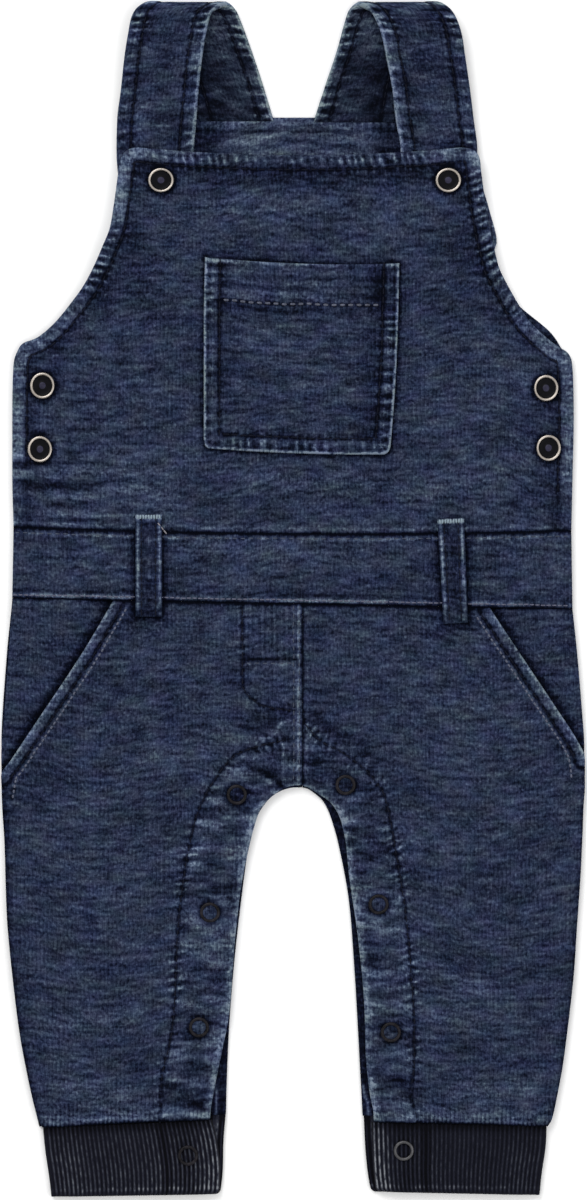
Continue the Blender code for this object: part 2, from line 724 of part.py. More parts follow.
def add_snaps(materials, collection):
    snap_radius = SNAP_PROFILE[-2][0]
    ring_radius = RING_PROFILE[1][0]
    for name, (x, y) in SNAPS.items():
        made = turned(name, SNAP_PROFILE, SNAP_STEPS, materials["snap"], collection)
        z = highest_under(x, y, snap_radius, front_top) + SEAM
        made.location = Vector((x, y, z)) * MM
    for name, (x, y) in INSEAM_RINGS.items():
        made = turned(name, RING_PROFILE, RING_STEPS, materials["dark_ring"], collection)
        z = highest_under(x, y, ring_radius, front_top) + SEAM
        made.location = Vector((x, y, z)) * MM
    for (name, (x, y)), rows in zip(CUFF_RINGS.items(), CUFFS.values()):
        made = turned(name, RING_PROFILE, RING_STEPS, materials["dark_ring"], collection)
        made.location = Vector((x, y, cuff_top(x, rows) + SEAM)) * MM


def main():
    clear_scene()
    collection = bpy.data.collections.new("dungarees")
    bpy.context.scene.collection.children.link(collection)
    materials = make_materials()
    add_back(materials, collection)
    add_bib(materials, collection)
    add_waistband(materials, collection)
    add_front_legs(materials, collection)
    add_cuffs(materials, collection)
    add_straps(materials, collection)
    add_snaps(materials, collection)


main()
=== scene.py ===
"""The looks of a baby's dungarees, laid flat on their back with the front up.

Every piece of cloth is a thin closed shell on the form of its solid, with its hems, seams, puckers
and creases worked into the mesh. The stitches, snaps and rings are meshes of their own. Washed
indigo, thread, rib and metal are procedural materials, which read a few values that each shell
carries for every point: where it lies in the cloth, how worn it is and where shade and light are
painted on it, and how far from a stitch.

Lengths are millimetres, as in the part's own tables: X across, left to right as seen from above,
Y from the cuffs to the straps, Z up from the surface. Left and right are the viewer's.
"""

import math
from collections import namedtuple

import bpy
import numpy as np
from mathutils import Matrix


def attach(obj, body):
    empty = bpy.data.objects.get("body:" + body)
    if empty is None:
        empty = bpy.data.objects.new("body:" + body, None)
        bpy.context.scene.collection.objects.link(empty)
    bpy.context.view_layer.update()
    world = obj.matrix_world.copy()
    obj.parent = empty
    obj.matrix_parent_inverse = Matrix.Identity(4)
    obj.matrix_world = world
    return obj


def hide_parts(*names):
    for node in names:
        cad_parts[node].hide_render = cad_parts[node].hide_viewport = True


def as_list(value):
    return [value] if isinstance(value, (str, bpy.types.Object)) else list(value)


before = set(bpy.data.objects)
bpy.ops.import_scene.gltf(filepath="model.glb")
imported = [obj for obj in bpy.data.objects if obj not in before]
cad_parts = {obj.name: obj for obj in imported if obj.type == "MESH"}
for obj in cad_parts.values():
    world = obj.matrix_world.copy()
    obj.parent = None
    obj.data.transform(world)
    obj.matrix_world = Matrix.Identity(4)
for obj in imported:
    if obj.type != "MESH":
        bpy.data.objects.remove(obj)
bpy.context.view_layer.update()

MM = 0.001

# ---------------------------------------------------------------- the part's own sizes

CLOTH = 1.4
STRAP = 2.4
LOOP = 1.6
RIB_CLOTH = 1.4
SEAM = 0.3
SEAM_ROUND = 0.35  # the radius of an edge that is sewn to another piece
CUFF_SEAM_ROUND = 1.6  # the same where a leg is gathered into its cuff
CURVE_STEPS = 6  # straight pieces between two points of a smooth line
LOFT = 2.6
ROLL = 9.0
STRAP_LOFT = 3.1
LAP_LOFT = 1.85
LAP_REACH = 10.0
LAP_FADE = 14.0
RIBS = 38
RIB_HEIGHT = 0.6
CUFF_LOFT = 1.6
GATHERS = 12
GATHER_HEIGHT = 0.7
GATHER_REACH = 24.0
LOOP_ARCH = 0.6
CUFF_SEAM_Y = -215.0
SLANT_ROWS = 4

Row = namedtuple("Row", "left_x left_y right_x right_y sag", defaults=[0.0])

JOIN = 0.012  # half of the gap that is left where two pieces are sewn together
CENTRE_SEAM_X = 3.9
LEFT_OF_CENTRE = CENTRE_SEAM_X - JOIN
RIGHT_OF_CENTRE = CENTRE_SEAM_X + JOIN

WAIST_TOP = Row(-114.5, 29.8, 114, 28.3, -2)
WAIST_BOTTOM = Row(-115, 0.5, 114.5, -4)

BIB = [
    Row(-115, 51, 114.5, 49.5, -1.2), Row(-115, 75.5, 115, 74, -0.6), Row(-114.5, 96, 114.5, 94.5),
    Row(-113, 101.5, 113, 100.5), Row(-110.5, 105, 108, 104), Row(-104.5, 107.5, 102.5, 108.5),
    Row(-97.5, 113.5, 96.5, 114.5), Row(-90.5, 122, 92, 121.5), Row(-85.5, 129, 88, 128.5),
    Row(-81.5, 136.5, 84.5, 135.5), Row(-78, 144.5, 82.5, 143), Row(-75, 152, 80.5, 151.5),
    Row(-73.5, 160.5, 79, 159.5, -0.3), Row(-72.5, 167.5, 78, 167.5, -1),
    Row(-71.5, 175, 77, 175, -1.8), Row(-70.8, 179.5, 76.5, 180, -2.3),
    Row(-69.3, 182.6, 75.2, 182.8, -2.7), Row(-66.8, 184.4, 72.7, 184.4, -3.1),
    Row(-63.4, 185, 69, 185, -3.2),
]

BACK = [
    Row(-115, 61, 114.5, 60), Row(-114.5, 87.5, 114.5, 86.5), Row(-114, 97, 114, 96),
    Row(-111.5, 103, 110.5, 102), Row(-102, 109, 105, 110), Row(-88.5, 123, 91, 122),
    Row(-82, 133, 85, 132.5), Row(-77.5, 143, 82.5, 142.5), Row(-75.5, 149, 83.5, 147),
    Row(-73, 160.5, 80.5, 159.5), Row(-70.5, 167.5, 77.5, 169), Row(-65.5, 182, 71, 182),
    Row(-55.5, 197.5, 60.5, 197.5),
]

FRONT_LEG_LEFT = [
    Row(-87, -23, LEFT_OF_CENTRE, -24), Row(-106, -51.5, LEFT_OF_CENTRE, -50.5),
    Row(-115, -65, LEFT_OF_CENTRE, -62.5), Row(-119.5, -72, LEFT_OF_CENTRE, -69.5),
    Row(-119.3, -77, LEFT_OF_CENTRE, -76), Row(-119.2, -81, 1, -76.1),
    Row(-118.8, -90, -3.6, -77.3), Row(-118.3, -98, -9, -81), Row(-118, -106, -14, -87.5),
    Row(-117.7, -117.5, -18, -101.5), Row(-117, -133.5, -21.5, -119.5), Row(-115, -154, -24, -142),
    Row(-112.5, -174.5, -26, -168.5), Row(-110, -189, -29.3, -186),
    Row(-106.5, -205.5, -32.8, -203.5), Row(-104.2, -213, -33.8, -210.2, 0.2),
    Row(-102.6, -216.3, -34, -213, 0.4),
]

FRONT_LEG_RIGHT = [
    Row(RIGHT_OF_CENTRE, -24, 92.5, -21.5), Row(RIGHT_OF_CENTRE, -50.5, 109.5, -47),
    Row(RIGHT_OF_CENTRE, -62.5, 116, -57), Row(RIGHT_OF_CENTRE, -69.5, 119.5, -65),
    Row(RIGHT_OF_CENTRE, -76, 119.5, -71), Row(6.2, -77, 119.5, -76.5), Row(10.2, -79.5, 119, -85),
    Row(15.4, -83.3, 118.7, -94), Row(19.2, -89.5, 118.3, -103), Row(21.6, -100, 117.7, -115),
    Row(23.2, -115, 116.5, -131.5), Row(26.5, -138, 115, -154), Row(29.2, -166.5, 112.5, -176),
    Row(29.8, -187, 110.5, -191), Row(31.4, -202, 108, -204.5), Row(32.9, -210, 106.2, -212.4, 0.2),
    Row(33, -214, 104.4, -215.8, 0.4),
]

BACK_LEG_LEFT = [
    Row(-117.5, -25, LEFT_OF_CENTRE, -33), Row(-119.5, -58, LEFT_OF_CENTRE, -60),
    Row(-119.5, -70, LEFT_OF_CENTRE, -69.5), Row(-119.3, -77, LEFT_OF_CENTRE, -77),
    Row(-119.2, -81, 1, -77), Row(-118.8, -90, -3.9, -78), Row(-118.2, -99, -10.3, -82.3),
    Row(-117.8, -110.5, -16, -91.5), Row(-117.4, -121.5, -18.5, -103),
    Row(-116, -140, -21.5, -125.5), Row(-114.5, -158.5, -24, -148), Row(-111.5, -179, -26, -172.5),
    Row(-108.5, -197, -27, -193), Row(-104, -216, -27.5, -211),
]

BACK_LEG_RIGHT = [
    Row(RIGHT_OF_CENTRE, -33, 116.5, -25), Row(RIGHT_OF_CENTRE, -60, 119, -56),
    Row(RIGHT_OF_CENTRE, -69.5, 119.5, -69.5), Row(RIGHT_OF_CENTRE, -77, 119.3, -75),
    Row(5.8, -77.5, 119.2, -80.5), Row(8.8, -79.4, 118.8, -89), Row(12.7, -83.2, 118.4, -98),
    Row(15.9, -90.5, 118, -109.5), Row(19.2, -103, 117.4, -120), Row(22.9, -123.5, 116, -140),
    Row(24.9, -148, 114.5, -158.5), Row(26.4, -172.5, 112, -179), Row(27.5, -193, 109.5, -197),
    Row(28.5, -211.5, 105, -215),
]

FACING_LEFT = [
    Row(-116.5, -23, -77, -23), Row(-118.5, -49.5, -96, -51.5), Row(-119.5, -64, -107, -68),
    Row(-119.3, -76.5, -114, -79.5),
]
FACING_RIGHT = [
    Row(82.5, -24, 116.5, -23), Row(99.5, -48, 118.5, -47), Row(108.5, -61, 119.3, -60),
    Row(114.5, -72.5, 119.3, -71.5),
]
FACING_INNER_X = {"left": -63, "right": 71}
SLANT_TOP_X = {"left": -73.5, "right": 80.5}

BIB_POCKET = [
    Row(-36, 140, 43.5, 137.5, -1.4), Row(-36.5, 114.5, 43, 114.5, -0.5), Row(-36.5, 90, 42, 90),
    Row(-36.5, 67.5, 40.2, 66), Row(-36.3, 64.3, 39.8, 62.2, -0.3),
    Row(-35.7, 62.6, 38.9, 60.3, -0.6), Row(-34.5, 61.8, 37.4, 59.3, -0.8),
]

BELT_LOOPS = {
    "left": [Row(-64.5, 35, -53.5, 35), Row(-64.5, -7, -53.5, -7)],
    "right": [Row(59, 33, 70, 33.5), Row(61.5, -10, 71.5, -9.5)],
}

StrapRow = namedtuple("StrapRow", "outer_x outer_y inner_x inner_y z")

STRAPS = {
    "left": [
        StrapRow(-69.5, 158.5, -40.5, 157.5, 3.1), StrapRow(-71.5, 172.5, -40, 172.5, 3.1),
        StrapRow(-72.3, 184, -40.5, 184, 3.1), StrapRow(-72, 196.5, -39.5, 196.5, 3.7),
        StrapRow(-70.5, 208.5, -38.5, 209.5, 4.7), StrapRow(-69, 222, -37, 222.5, 5.7),
        StrapRow(-67.5, 231.5, -35.5, 231.5, 6.2), StrapRow(-66, 238.5, -33.5, 239.5, 6.1),
        StrapRow(-63.5, 242.3, -30, 242.3, 5.1), StrapRow(-59.5, 243.6, -26.5, 243.5, 3.7),
        StrapRow(-56.5, 241.5, -23.5, 241.5, 2.2), StrapRow(-53, 236, -21, 236, 1.4),
        StrapRow(-48.5, 225, -17, 225, 1.2), StrapRow(-43.5, 211.5, -12.5, 211.5, 1.2),
        StrapRow(-38.8, 196, -7.8, 196, 0.9),
    ],
    "right": [
        StrapRow(74.5, 158.5, 45, 157.5, 3.1), StrapRow(75.5, 172.5, 44, 172.5, 3.1),
        StrapRow(75.5, 184, 44, 184, 3.1), StrapRow(74, 196.5, 42, 196.5, 3.7),
        StrapRow(72.5, 208.5, 40.5, 209.5, 4.7), StrapRow(70.5, 222, 38, 222, 5.7),
        StrapRow(69, 231.5, 36, 231.5, 6.2), StrapRow(66.5, 238.5, 32.5, 239.5, 6.1),
        StrapRow(63.5, 242.3, 29, 242.3, 5.1), StrapRow(59.5, 243.6, 26, 243.5, 3.7),
        StrapRow(56, 241.5, 23, 241.5, 2.2), StrapRow(52.5, 236, 21, 236, 1.4),
        StrapRow(48.5, 225, 18, 225, 1.2), StrapRow(44.4, 211.5, 13.5, 211.5, 1.2),
        StrapRow(42, 195.6, 8.3, 195.6, 0.9),
    ],
}

CuffRow = namedtuple("CuffRow", "outer_x outer_y front_x front_y back_x back_y")

CUFFS = {
    "left": [
        CuffRow(-102.5, -215.97, -33.2, -213.1, -27.6, -210.97),
        CuffRow(-101.5, -226, -31, -222.5, -28.5, -222),
        CuffRow(-100, -236, -29.8, -234, -28.8, -234),
        CuffRow(-99, -244.6, -30.2, -243.6, -29.8, -243.6),
    ],
    "right": [
        CuffRow(104, -214.97, 32.2, -214.1, 29, -211.47),
        CuffRow(103.5, -224.5, 32.5, -223.5, 29.5, -223),
        CuffRow(102, -234.5, 33, -234, 30.5, -234), CuffRow(101, -243.9, 34, -242.6, 32, -242.6),
    ],
}

Fold = namedtuple("Fold", "from_x from_y to_x to_y width height")

FOLDS = [
    Fold(-4, -66, -40, -48, 7, 0.7), Fold(12, -68, 44, -52, 7, 0.6),
    Fold(-24, -96, -66, -82, 8, 0.6), Fold(30, -100, 70, -86, 8, 0.6),
    Fold(-95, -92, -78, -150, 9, 0.5), Fold(96, -86, 84, -140, 9, 0.5),
    Fold(-44, -150, -88, -162, 8, 0.5), Fold(48, -160, 90, -170, 8, 0.5),
    Fold(-84, 108, -62, 70, 9, 0.5), Fold(84, 106, 64, 66, 9, 0.5),
]

SNAPS = {
    "bib_snap_left": (-54, 171.5), "bib_snap_right": (63.5, 171.5),
    "side_snap_left_upper": (-102.5, 87.5), "side_snap_left_lower": (-103.5, 61.5),
    "side_snap_right_upper": (103.5, 86.5), "side_snap_right_lower": (104.5, 62),
}
INSEAM_RINGS = {
    "inseam_ring_left_top": (-23, -79.8), "inseam_ring_left_middle": (-34, -128),
    "inseam_ring_left_bottom": (-38.5, -175), "inseam_ring_right_top": (21.5, -75.8),
    "inseam_ring_right_middle": (35, -124.7), "inseam_ring_right_bottom": (40, -177),
}
CUFF_RINGS = {"cuff_ring_left": (-43, -227.5), "cuff_ring_right": (45.3, -225.5)}
SNAP_RADIUS = 5.5
RING_RADIUS = 4.15

# ---------------------------------------------------------------- sizes of the finish

# Distances from an edge at which a shell has a row of points, before its even rows start
NEAR_EDGE = [0, 0.15, 0.4, 0.75, 1.2, 1.8, 2.5, 3.3, 4.1, 4.9, 5.6, 6.2, 6.9, 7.8]
SPACING = 1.15  # between the even rows on the front
BACK_SPACING = 2.0
STRAP_SPACING = 1.0

HEM = 6.0  # from a free edge to its topstitch
FAR = 9.0  # a distance from a stitch past which it no longer shows
RIM_LEAST = 0.12  # share of the cloth's thickness left at its rounded rim
# SNAP_SHADE is a painted shadow, darkening the cloth round a snap's rim
SNAP_SHADE = 0.28  # how much darker the cloth is at a snap's rim
PANEL_SAMPLES = 600  # points by which a panel's length is measured
STRAP_SAMPLES = 900  # points by which a strap's length is measured

# The line that the facing behind each inseam's snaps is stitched on with
INSEAM_STITCH = {
    "left": [
        (-3.3, -57.6), (-12.7, -59.7), (-24.2, -64.2), (-32.8, -74.8), (-38.9, -86.7),
        (-41.8, -98.2), (-44.3, -111.7), (-47.1, -135.1), (-48.4, -164.2), (-50.4, -181.4),
        (-53.3, -192.9), (-54.1, -202.7), (-54.5, -216),
    ],
    "right": [
        (4.6, -50.5), (11, -57.5), (19.3, -62.2), (27.5, -67.8), (34.2, -75), (38.2, -83),
        (42.6, -106), (46.3, -130.2), (48.8, -160.1), (49.6, -173.6), (49.6, -188.4),
        (48.4, -202.7), (52.1, -216),
    ],
}
FLY_STITCH = [
    (-20.7, 0), (-20.7, -16.6), (-20.7, -33), (-18.8, -38.5), (-13.6, -43), (-7.5, -44.6),
    (-1, -45.4),
]
FLY_CROSS = [(-19.7, -26), (2.6, -26)]

# Small creases beside the solids' own folds, raised or sunk
CREASES = [
    Fold(-13, -60, 2, -49, 2.6, -0.15), Fold(8, -50, 30, -62, 3, -0.4),
    Fold(-30, -54, -6, -60, 3, 0.35), Fold(-20, -84, -4, -79, 2.2, -0.4),
    Fold(-62, -66, -36, -60, 4, 0.25), Fold(-66, -108, -42, -104, 4, 0.25),
    Fold(-44, -120, -24, -117, 2.4, -0.35), Fold(-45, -142, -25, -139, 2.6, 0.3),
    Fold(-48, -157, -28, -152, 2.4, -0.3), Fold(-50, -192, -32, -190, 2.6, -0.4),
    Fold(-52, -203, -34, -207, 2.6, -0.45), Fold(27, -92, 40, -90, 2.4, -0.3),
    Fold(28, -106, 42, -110, 2.2, -0.4), Fold(29, -133, 45, -137, 2.6, 0.3),
    Fold(30, -148, 47, -143, 2.4, -0.35), Fold(34, -193, 48, -196, 2.6, -0.45),
    Fold(50, -168, 74, -176, 3, 0.3), Fold(54, -150, 80, -160, 4, 0.25),
    Fold(-100, -176, -66, -170, 5, 0.25), Fold(-96, -198, -70, -204, 5, 0.3),
    Fold(64, -204, 98, -198, 5, 0.3), Fold(-50, 22, 10, 18, 4, 0.2), Fold(20, 9, 56, 12, 3, -0.2),
    Fold(-88, 48, -50, 42, 5, 0.25), Fold(46, 44, 96, 50, 5, 0.25), Fold(-20, 50, 30, 47, 5, 0.2),
    Fold(-68, 150, -58, 118, 5, -0.25), Fold(70, 150, 62, 120, 5, -0.25),
    Fold(-30, 162, 40, 160, 5, 0.2),
]

# Sharp little folds and lines of wear at the crotch and fly, the sunk folds darkened with painted
# shade
Line = namedtuple("Line", "points width height tone")

LINES = [
    Line([(-17.8, -68.8), (-10.8, -71.5), (-6.8, -74), (-3.6, -77.5)], 1, -0.5, -0.44),
    Line([(-17, -71.4), (-10.8, -74), (-7.6, -76.4)], 0.9, 0.3, 0.12),
    Line([(-19.4, -26.4), (-8, -26.6), (2.4, -26.2)], 0.8, 0.1, 0.16),
    Line([(-21, -51.5), (-15, -54), (-9, -58.8)], 1.8, -0.2, -0.1),
    Line([(-16, -47), (-9, -48.2), (-3, -47)], 1.8, -0.2, -0.12),
    Line([(-13.6, -56.4), (-9.6, -56.6), (-7, -54), (-4.2, -50.2), (-1.2, -49.4)], 0.6, 0.3, 0.36),
    Line([(-8.4, -61), (-4, -61.4), (0.5, -60.8)], 0.8, -0.1, -0.08),
    Line([(5, -50.5), (6.6, -54), (8, -57)], 0.5, 0.2, 0.28),
    Line([(8.5, -46), (13, -52), (20.5, -57)], 2.2, -0.2, -0.09),
    Line([(5, -36), (11.5, -37.6), (18, -37.8)], 0.7, -0.2, -0.2),
    Line([(-20.2, -24.4), (2.6, -24.4)], 0.7, -0.2, -0.26),
]

# Parts of the bib's hems that lie flat, without puckers, and are rubbed paler
Flat = namedtuple("Flat", "x y reach_x reach_y amount")

FLAT_HEMS = [
    Flat(-66, 182, 11, 9, 1.2), Flat(-71, 166, 7, 14, 1), Flat(-44, 184, 20, 6, 0.5),
    Flat(2, 184, 34, 6, 0.3), Flat(74, 181, 6, 5, 1), Flat(62, 184, 12, 6, 0.7),
    Flat(-84, 112, 12, 12, 0.9), Flat(-104, 96, 14, 14, 1), Flat(-111, 74, 7, 14, 1),
    Flat(101, 102, 15, 13, 0.9), Flat(113, 72, 8, 30, 0.85),
]

# Soft patches of the cloth, lighter or darker: place, reach each way, and how much
Patch = namedtuple("Patch", "x y reach_x reach_y tone")

PATCHES = [
    Patch(75, 181.5, 4, 4, 0.14), Patch(95, 96, 14, 9, 0.06), Patch(-12, -54, 12, 8, -0.06),
    Patch(-3.3, -54, 2.4, 2.6, 0.13), Patch(16, -72, 10, 8, -0.06), Patch(-45, -205, 9, 5, -0.05),
    Patch(47, -200, 8, 6, -0.06), Patch(-86, 128, 8, 12, -0.04), Patch(-10, 100, 30, 22, -0.03),
    Patch(-60, 70, 26, 22, 0.015), Patch(75, -40, 26, 22, 0.02), Patch(-70, -120, 30, 30, 0.01),
]

# ---------------------------------------------------------------- numbers and curves


def mix(start, end, share):
    return start + (end - start) * share


def zeros(x):
    return np.zeros(np.shape(x))


def smooth(share):
    """0 to 1, level at both ends."""
    share = np.clip(share, 0.0, 1.0)
    return share * share * (3.0 - 2.0 * share)


def bell(distance, width):
    return np.exp(-((distance / width) ** 2))


def noise(x, y=0.0, seed=0):
    """Smooth noise from -1 to 1, with a new value about every unit."""
    x, y = np.broadcast_arrays(np.asarray(x, float), np.asarray(y, float))
    cell_x, cell_y = np.floor(x), np.floor(y)

    def corner(step_x, step_y):
        value = (cell_x + step_x) * 127.1 + (cell_y + step_y) * 311.7 + seed * 74.7
        value = np.sin(value) * 43758.5453
        return 2.0 * (value - np.floor(value)) - 1.0

    share_x, share_y = smooth(x - cell_x), smooth(y - cell_y)
    lower = mix(corner(0, 0), corner(1, 0), share_x)
    upper = mix(corner(0, 1), corner(1, 1), share_x)
    return mix(lower, upper, share_y)


def shifted(row, up):
    return row._replace(left_y=row.left_y + up, right_y=row.right_y + up)


def height_of(row, x):
    """The row's y at x."""
    share = (x - row.left_x) / (row.right_x - row.left_x)
    return mix(row.left_y, row.right_y, share) + row.sag * 4.0 * share * (1.0 - share)


def stretch(row, left_x, right_x):
    """The part of a row between two x."""
    return Row(left_x, height_of(row, left_x), right_x, height_of(row, right_x), 0.0)


def bend(before, after):
    """The slope where two steps meet: their mean, but never over twice the smaller one."""
    mean = (before + after) / 2.0
    most = 2.0 * np.minimum(np.abs(before), np.abs(after))
    return np.where(before * after > 0.0, np.sign(mean) * np.minimum(np.abs(mean), most), 0.0)


def through(before, start, end, after, share):
    """A smooth curve from start to end that doesn't bulge past them."""
    step = end - start
    leave, arrive = bend(start - before, step), bend(step, after - end)
    return (
        start
        + leave * share
        + (3.0 * step - 2.0 * leave - arrive) * share**2
        + (leave + arrive - 2.0 * step) * share**3
    )


def between(rows, along):
    """The values at each `along`, 0 to 1, on smooth curves through the rows."""
    table = np.array(rows, float)
    last = len(table) - 1
    place = np.clip(along, 0.0, 1.0) * last
    first = np.minimum(place.astype(int), last - 1)
    table = np.concatenate([[2.0 * table[0] - table[1]], table, [2.0 * table[-1] - table[-2]]])
    near = [table[first + step] for step in range(4)]
    return through(*near, (place - first)[..., None])


def curve(points, steps=CURVE_STEPS):
    """A smooth line through points, `steps` pieces for each."""
    return between(points, np.linspace(0.0, 1.0, steps * (len(points) - 1) + 1))


def left_edge(rows):
    return [(row.left_x, row.left_y) for row in rows]


def right_edge(rows):
    return [(row.right_x, row.right_y) for row in rows]


def across_row(row):
    shares = np.linspace(0.0, 1.0, 9)
    xs = mix(row.left_x, row.right_x, shares)
    return np.stack([xs, height_of(row, xs)], axis=1)


def nearest(x, y, lines):
    """From each point to the nearest of some lines: the distance, how far along the line that
    is, and the side of it, 1 on its left and -1 on its right."""
    best = np.full(np.shape(x), np.inf)
    along = zeros(x)
    side = np.ones(np.shape(x))
    for line in lines:
        passed = 0.0
        for (ax, ay), (bx, by) in zip(line[:-1], line[1:]):
            dx, dy = bx - ax, by - ay
            length = math.hypot(dx, dy)
            if length < 1e-6:
                continue
            share = np.clip(((x - ax) * dx + (y - ay) * dy) / length**2, 0.0, 1.0)
            distance = np.hypot(x - ax - share * dx, y - ay - share * dy)
            closer = distance < best
            best = np.where(closer, distance, best)
            along = np.where(closer, passed + share * length, along)
            side = np.where(closer, np.where(dx * (y - ay) >= dy * (x - ax), 1.0, -1.0), side)
            passed += length
    return best, along, side


def distance_to(x, y, lines):
    return nearest(x, y, lines)[0]


# ---------------------------------------------------------------- how high the front lies

CLOSED_EDGES = [
    left_edge(BIB[::-1] + [WAIST_TOP, WAIST_BOTTOM] + FACING_LEFT[:3] + FRONT_LEG_LEFT[3:]),
    right_edge(BIB[::-1] + [WAIST_TOP, WAIST_BOTTOM] + FACING_RIGHT[:3] + FRONT_LEG_RIGHT[3:]),
    right_edge(FRONT_LEG_LEFT[4:])[::-1] + left_edge(FRONT_LEG_RIGHT[4:]),
]
SLANTS = {
    "left": [(SLANT_TOP_X["left"], height_of(WAIST_BOTTOM, SLANT_TOP_X["left"]))]
    + left_edge(FRONT_LEG_LEFT[:SLANT_ROWS]),
    "right": [(SLANT_TOP_X["right"], height_of(WAIST_BOTTOM, SLANT_TOP_X["right"]))]
    + right_edge(FRONT_LEG_RIGHT[:SLANT_ROWS]),
}


def roll(x, y):
    """How far the front has risen at (x, y): 0 at its closed edges, 1 well inside."""
    share = np.minimum(distance_to(x, y, CLOSED_EDGES) / ROLL, 1.0)
    return share * (2.0 - share)


def folds_at(x, y, folds):
    lift = zeros(x)
    for fold in folds:
        along_x, along_y = fold.to_x - fold.from_x, fold.to_y - fold.from_y
        length = math.hypot(along_x, along_y)
        along = ((x - fold.from_x) * along_x + (y - fold.from_y) * along_y) / length
        aside = ((x - fold.from_x) * along_y - (y - fold.from_y) * along_x) / length
        past_ends = np.maximum(np.maximum(-along, along - length), 0.0)
        lift += fold.height * bell(aside, fold.width) * bell(past_ends, fold.width)
    return lift


def front_underside(x, y):
    """The height of the front's underside over the surface."""
    risen = roll(x, y)
    rise = LOFT * risen
    for slant in SLANTS.values():
        beyond = distance_to(x, y, [slant]) - LAP_REACH
        rise = np.maximum(rise, LAP_LOFT * (1.0 - smooth(beyond / LAP_FADE)))
    rise = mix(rise, STRAP_LOFT, smooth((y - 112.0) / 38.0))
    return CLOTH + SEAM + rise + folds_at(x, y, FOLDS) * risen


def leg_underside(x, y, across):
    """The front's underside, with the gathers at the cuff."""
    near_cuff = smooth(1.0 - (y - CUFF_SEAM_Y) / GATHER_REACH)
    inside = np.minimum(across, 1.0 - across) * 2.0 * GATHERS
    wave = 0.5 - 0.5 * np.cos(2.0 * math.pi * GATHERS * across)
    return front_underside(x, y) + GATHER_HEIGHT * near_cuff * wave * np.minimum(inside, 1.0)


def facing_underside(x, y, side):
    """The facing lies low under the leg and rises to the waistband beside it."""
    slant = np.array(SLANTS[side])
    edge_x = np.interp(-y, -slant[:, 1], slant[:, 0])
    near_waist = smooth((y + 20.0) / 16.0)
    clear_of_leg = smooth((distance_to(x, y, [SLANTS[side]]) - 2.0) / 12.0)
    rise = LOFT * roll(x, y) * near_waist * clear_of_leg
    return CLOTH + SEAM + np.where(np.abs(x) <= np.abs(edge_x), 0.0, rise)


# ---------------------------------------------------------------- stitched lines and what they do

# A line of stitching: the lines it follows, how far from them it runs, how much the cloth between
# rises, how deep the stitch sinks, the puckers' height, spacing, slant and reach past the stitch,
# how much lighter the very edge is, how much lighter the puckers' crests are, how much darker a
# seam is, how dark the painted shade past the stitch is, the channel it is drawn in, and its
# thread.
Run = namedtuple(
    "Run",
    "lines offset rise groove pucker spacing slant reach lip crest seam halo channel thread",
)
HEMMED = Run([], HEM, 0.35, 0.35, 0.4, 3.7, 0.25, 1.6, 0.06, 0.31, 0.0, 0.12, 0, "navy")
SEAMED = Run([], 0.0, 0.0, 0.0, 0.15, 4.4, 0.2, 2.6, 0.0, 0.08, 0.22, 0.0, None, None)
STITCHED = Run([], 0.0, 0.0, 0.35, 0.30, 4.2, 0.3, 3.2, 0.0, 0.26, 0.0, 0.0, 1, "navy")


Marks = namedtuple("Marks", "height tone stitches turns crests")


def marks_of(runs, x, y):
    """What a piece's stitching does at each point: the height it adds, how much lighter it
    leaves the cloth, and for each channel the distance from its drawn stitches, how many
    puckers it is along them, and how light those puckers' crests are."""
    height = zeros(x)
    tone = zeros(x)
    stitches = np.full(np.shape(x) + (3,), FAR)
    turned = np.zeros(np.shape(x) + (3,))
    crests = np.zeros(np.shape(x) + (3,))
    for number, run in enumerate(runs):
        distance, along, side = nearest(x, y, run.lines)
        past = distance - run.offset
        inside = past < 0.0
        share = np.clip(distance / max(run.offset, 0.1), 0.0, 1.0)
        height += run.rise * np.sqrt(4.0 * share * (1.0 - share))
        height -= run.groove * bell(past, 0.9)
        turns = (along + run.slant * distance * side) / run.spacing
        turns += 0.55 * noise(along / run.spacing / 1.9, 0.0, number)
        uneven = 0.62 + 0.42 * noise(along / run.spacing / 1.7, 3.0, number)
        uneven = np.maximum(uneven + 0.40 * noise(along / 24.0, 6.0, number), 0.08)
        wave = np.cos(2.0 * math.pi * turns)
        within_hem = bell(distance - 0.42 * run.offset, 0.36 * run.offset + 0.1)
        hold = np.where(inside, within_hem, bell(past, run.reach) * (1.0 - 0.75 * bell(past, 0.8)))
        height += run.pucker * uneven * (0.5 * wave + 0.1) * hold
        if run.channel is None:
            tone += run.crest * uneven * wave * hold
        else:
            turned[..., run.channel] = turns
            crests[..., run.channel] = run.crest * uneven * hold
            signed = past if run.offset > 0.0 else distance * side
            stitches[..., run.channel] = np.clip(signed, -FAR, FAR)
        worn = 0.75 + 0.45 * noise(along / 2.3, 5.0, number) + 0.3 * noise(along / 9.0, 8.0, number)
        tone += run.lip * bell(distance, 1.0) * worn
        tone -= run.seam * bell(distance, 0.75)
        # painted shade beside the stitch: strongest at it, fading away from it
        tone -= run.halo * np.where(inside, bell(past, 1.7), np.exp(-np.maximum(past, 0.0) / 4.5))
    return Marks(height, tone, stitches, turned, crests)


def patches_at(x, y, patches):
    tone = zeros(x)
    for patch in patches:
        tone += patch.tone * bell(x - patch.x, patch.reach_x) * bell(y - patch.y, patch.reach_y)
    return tone


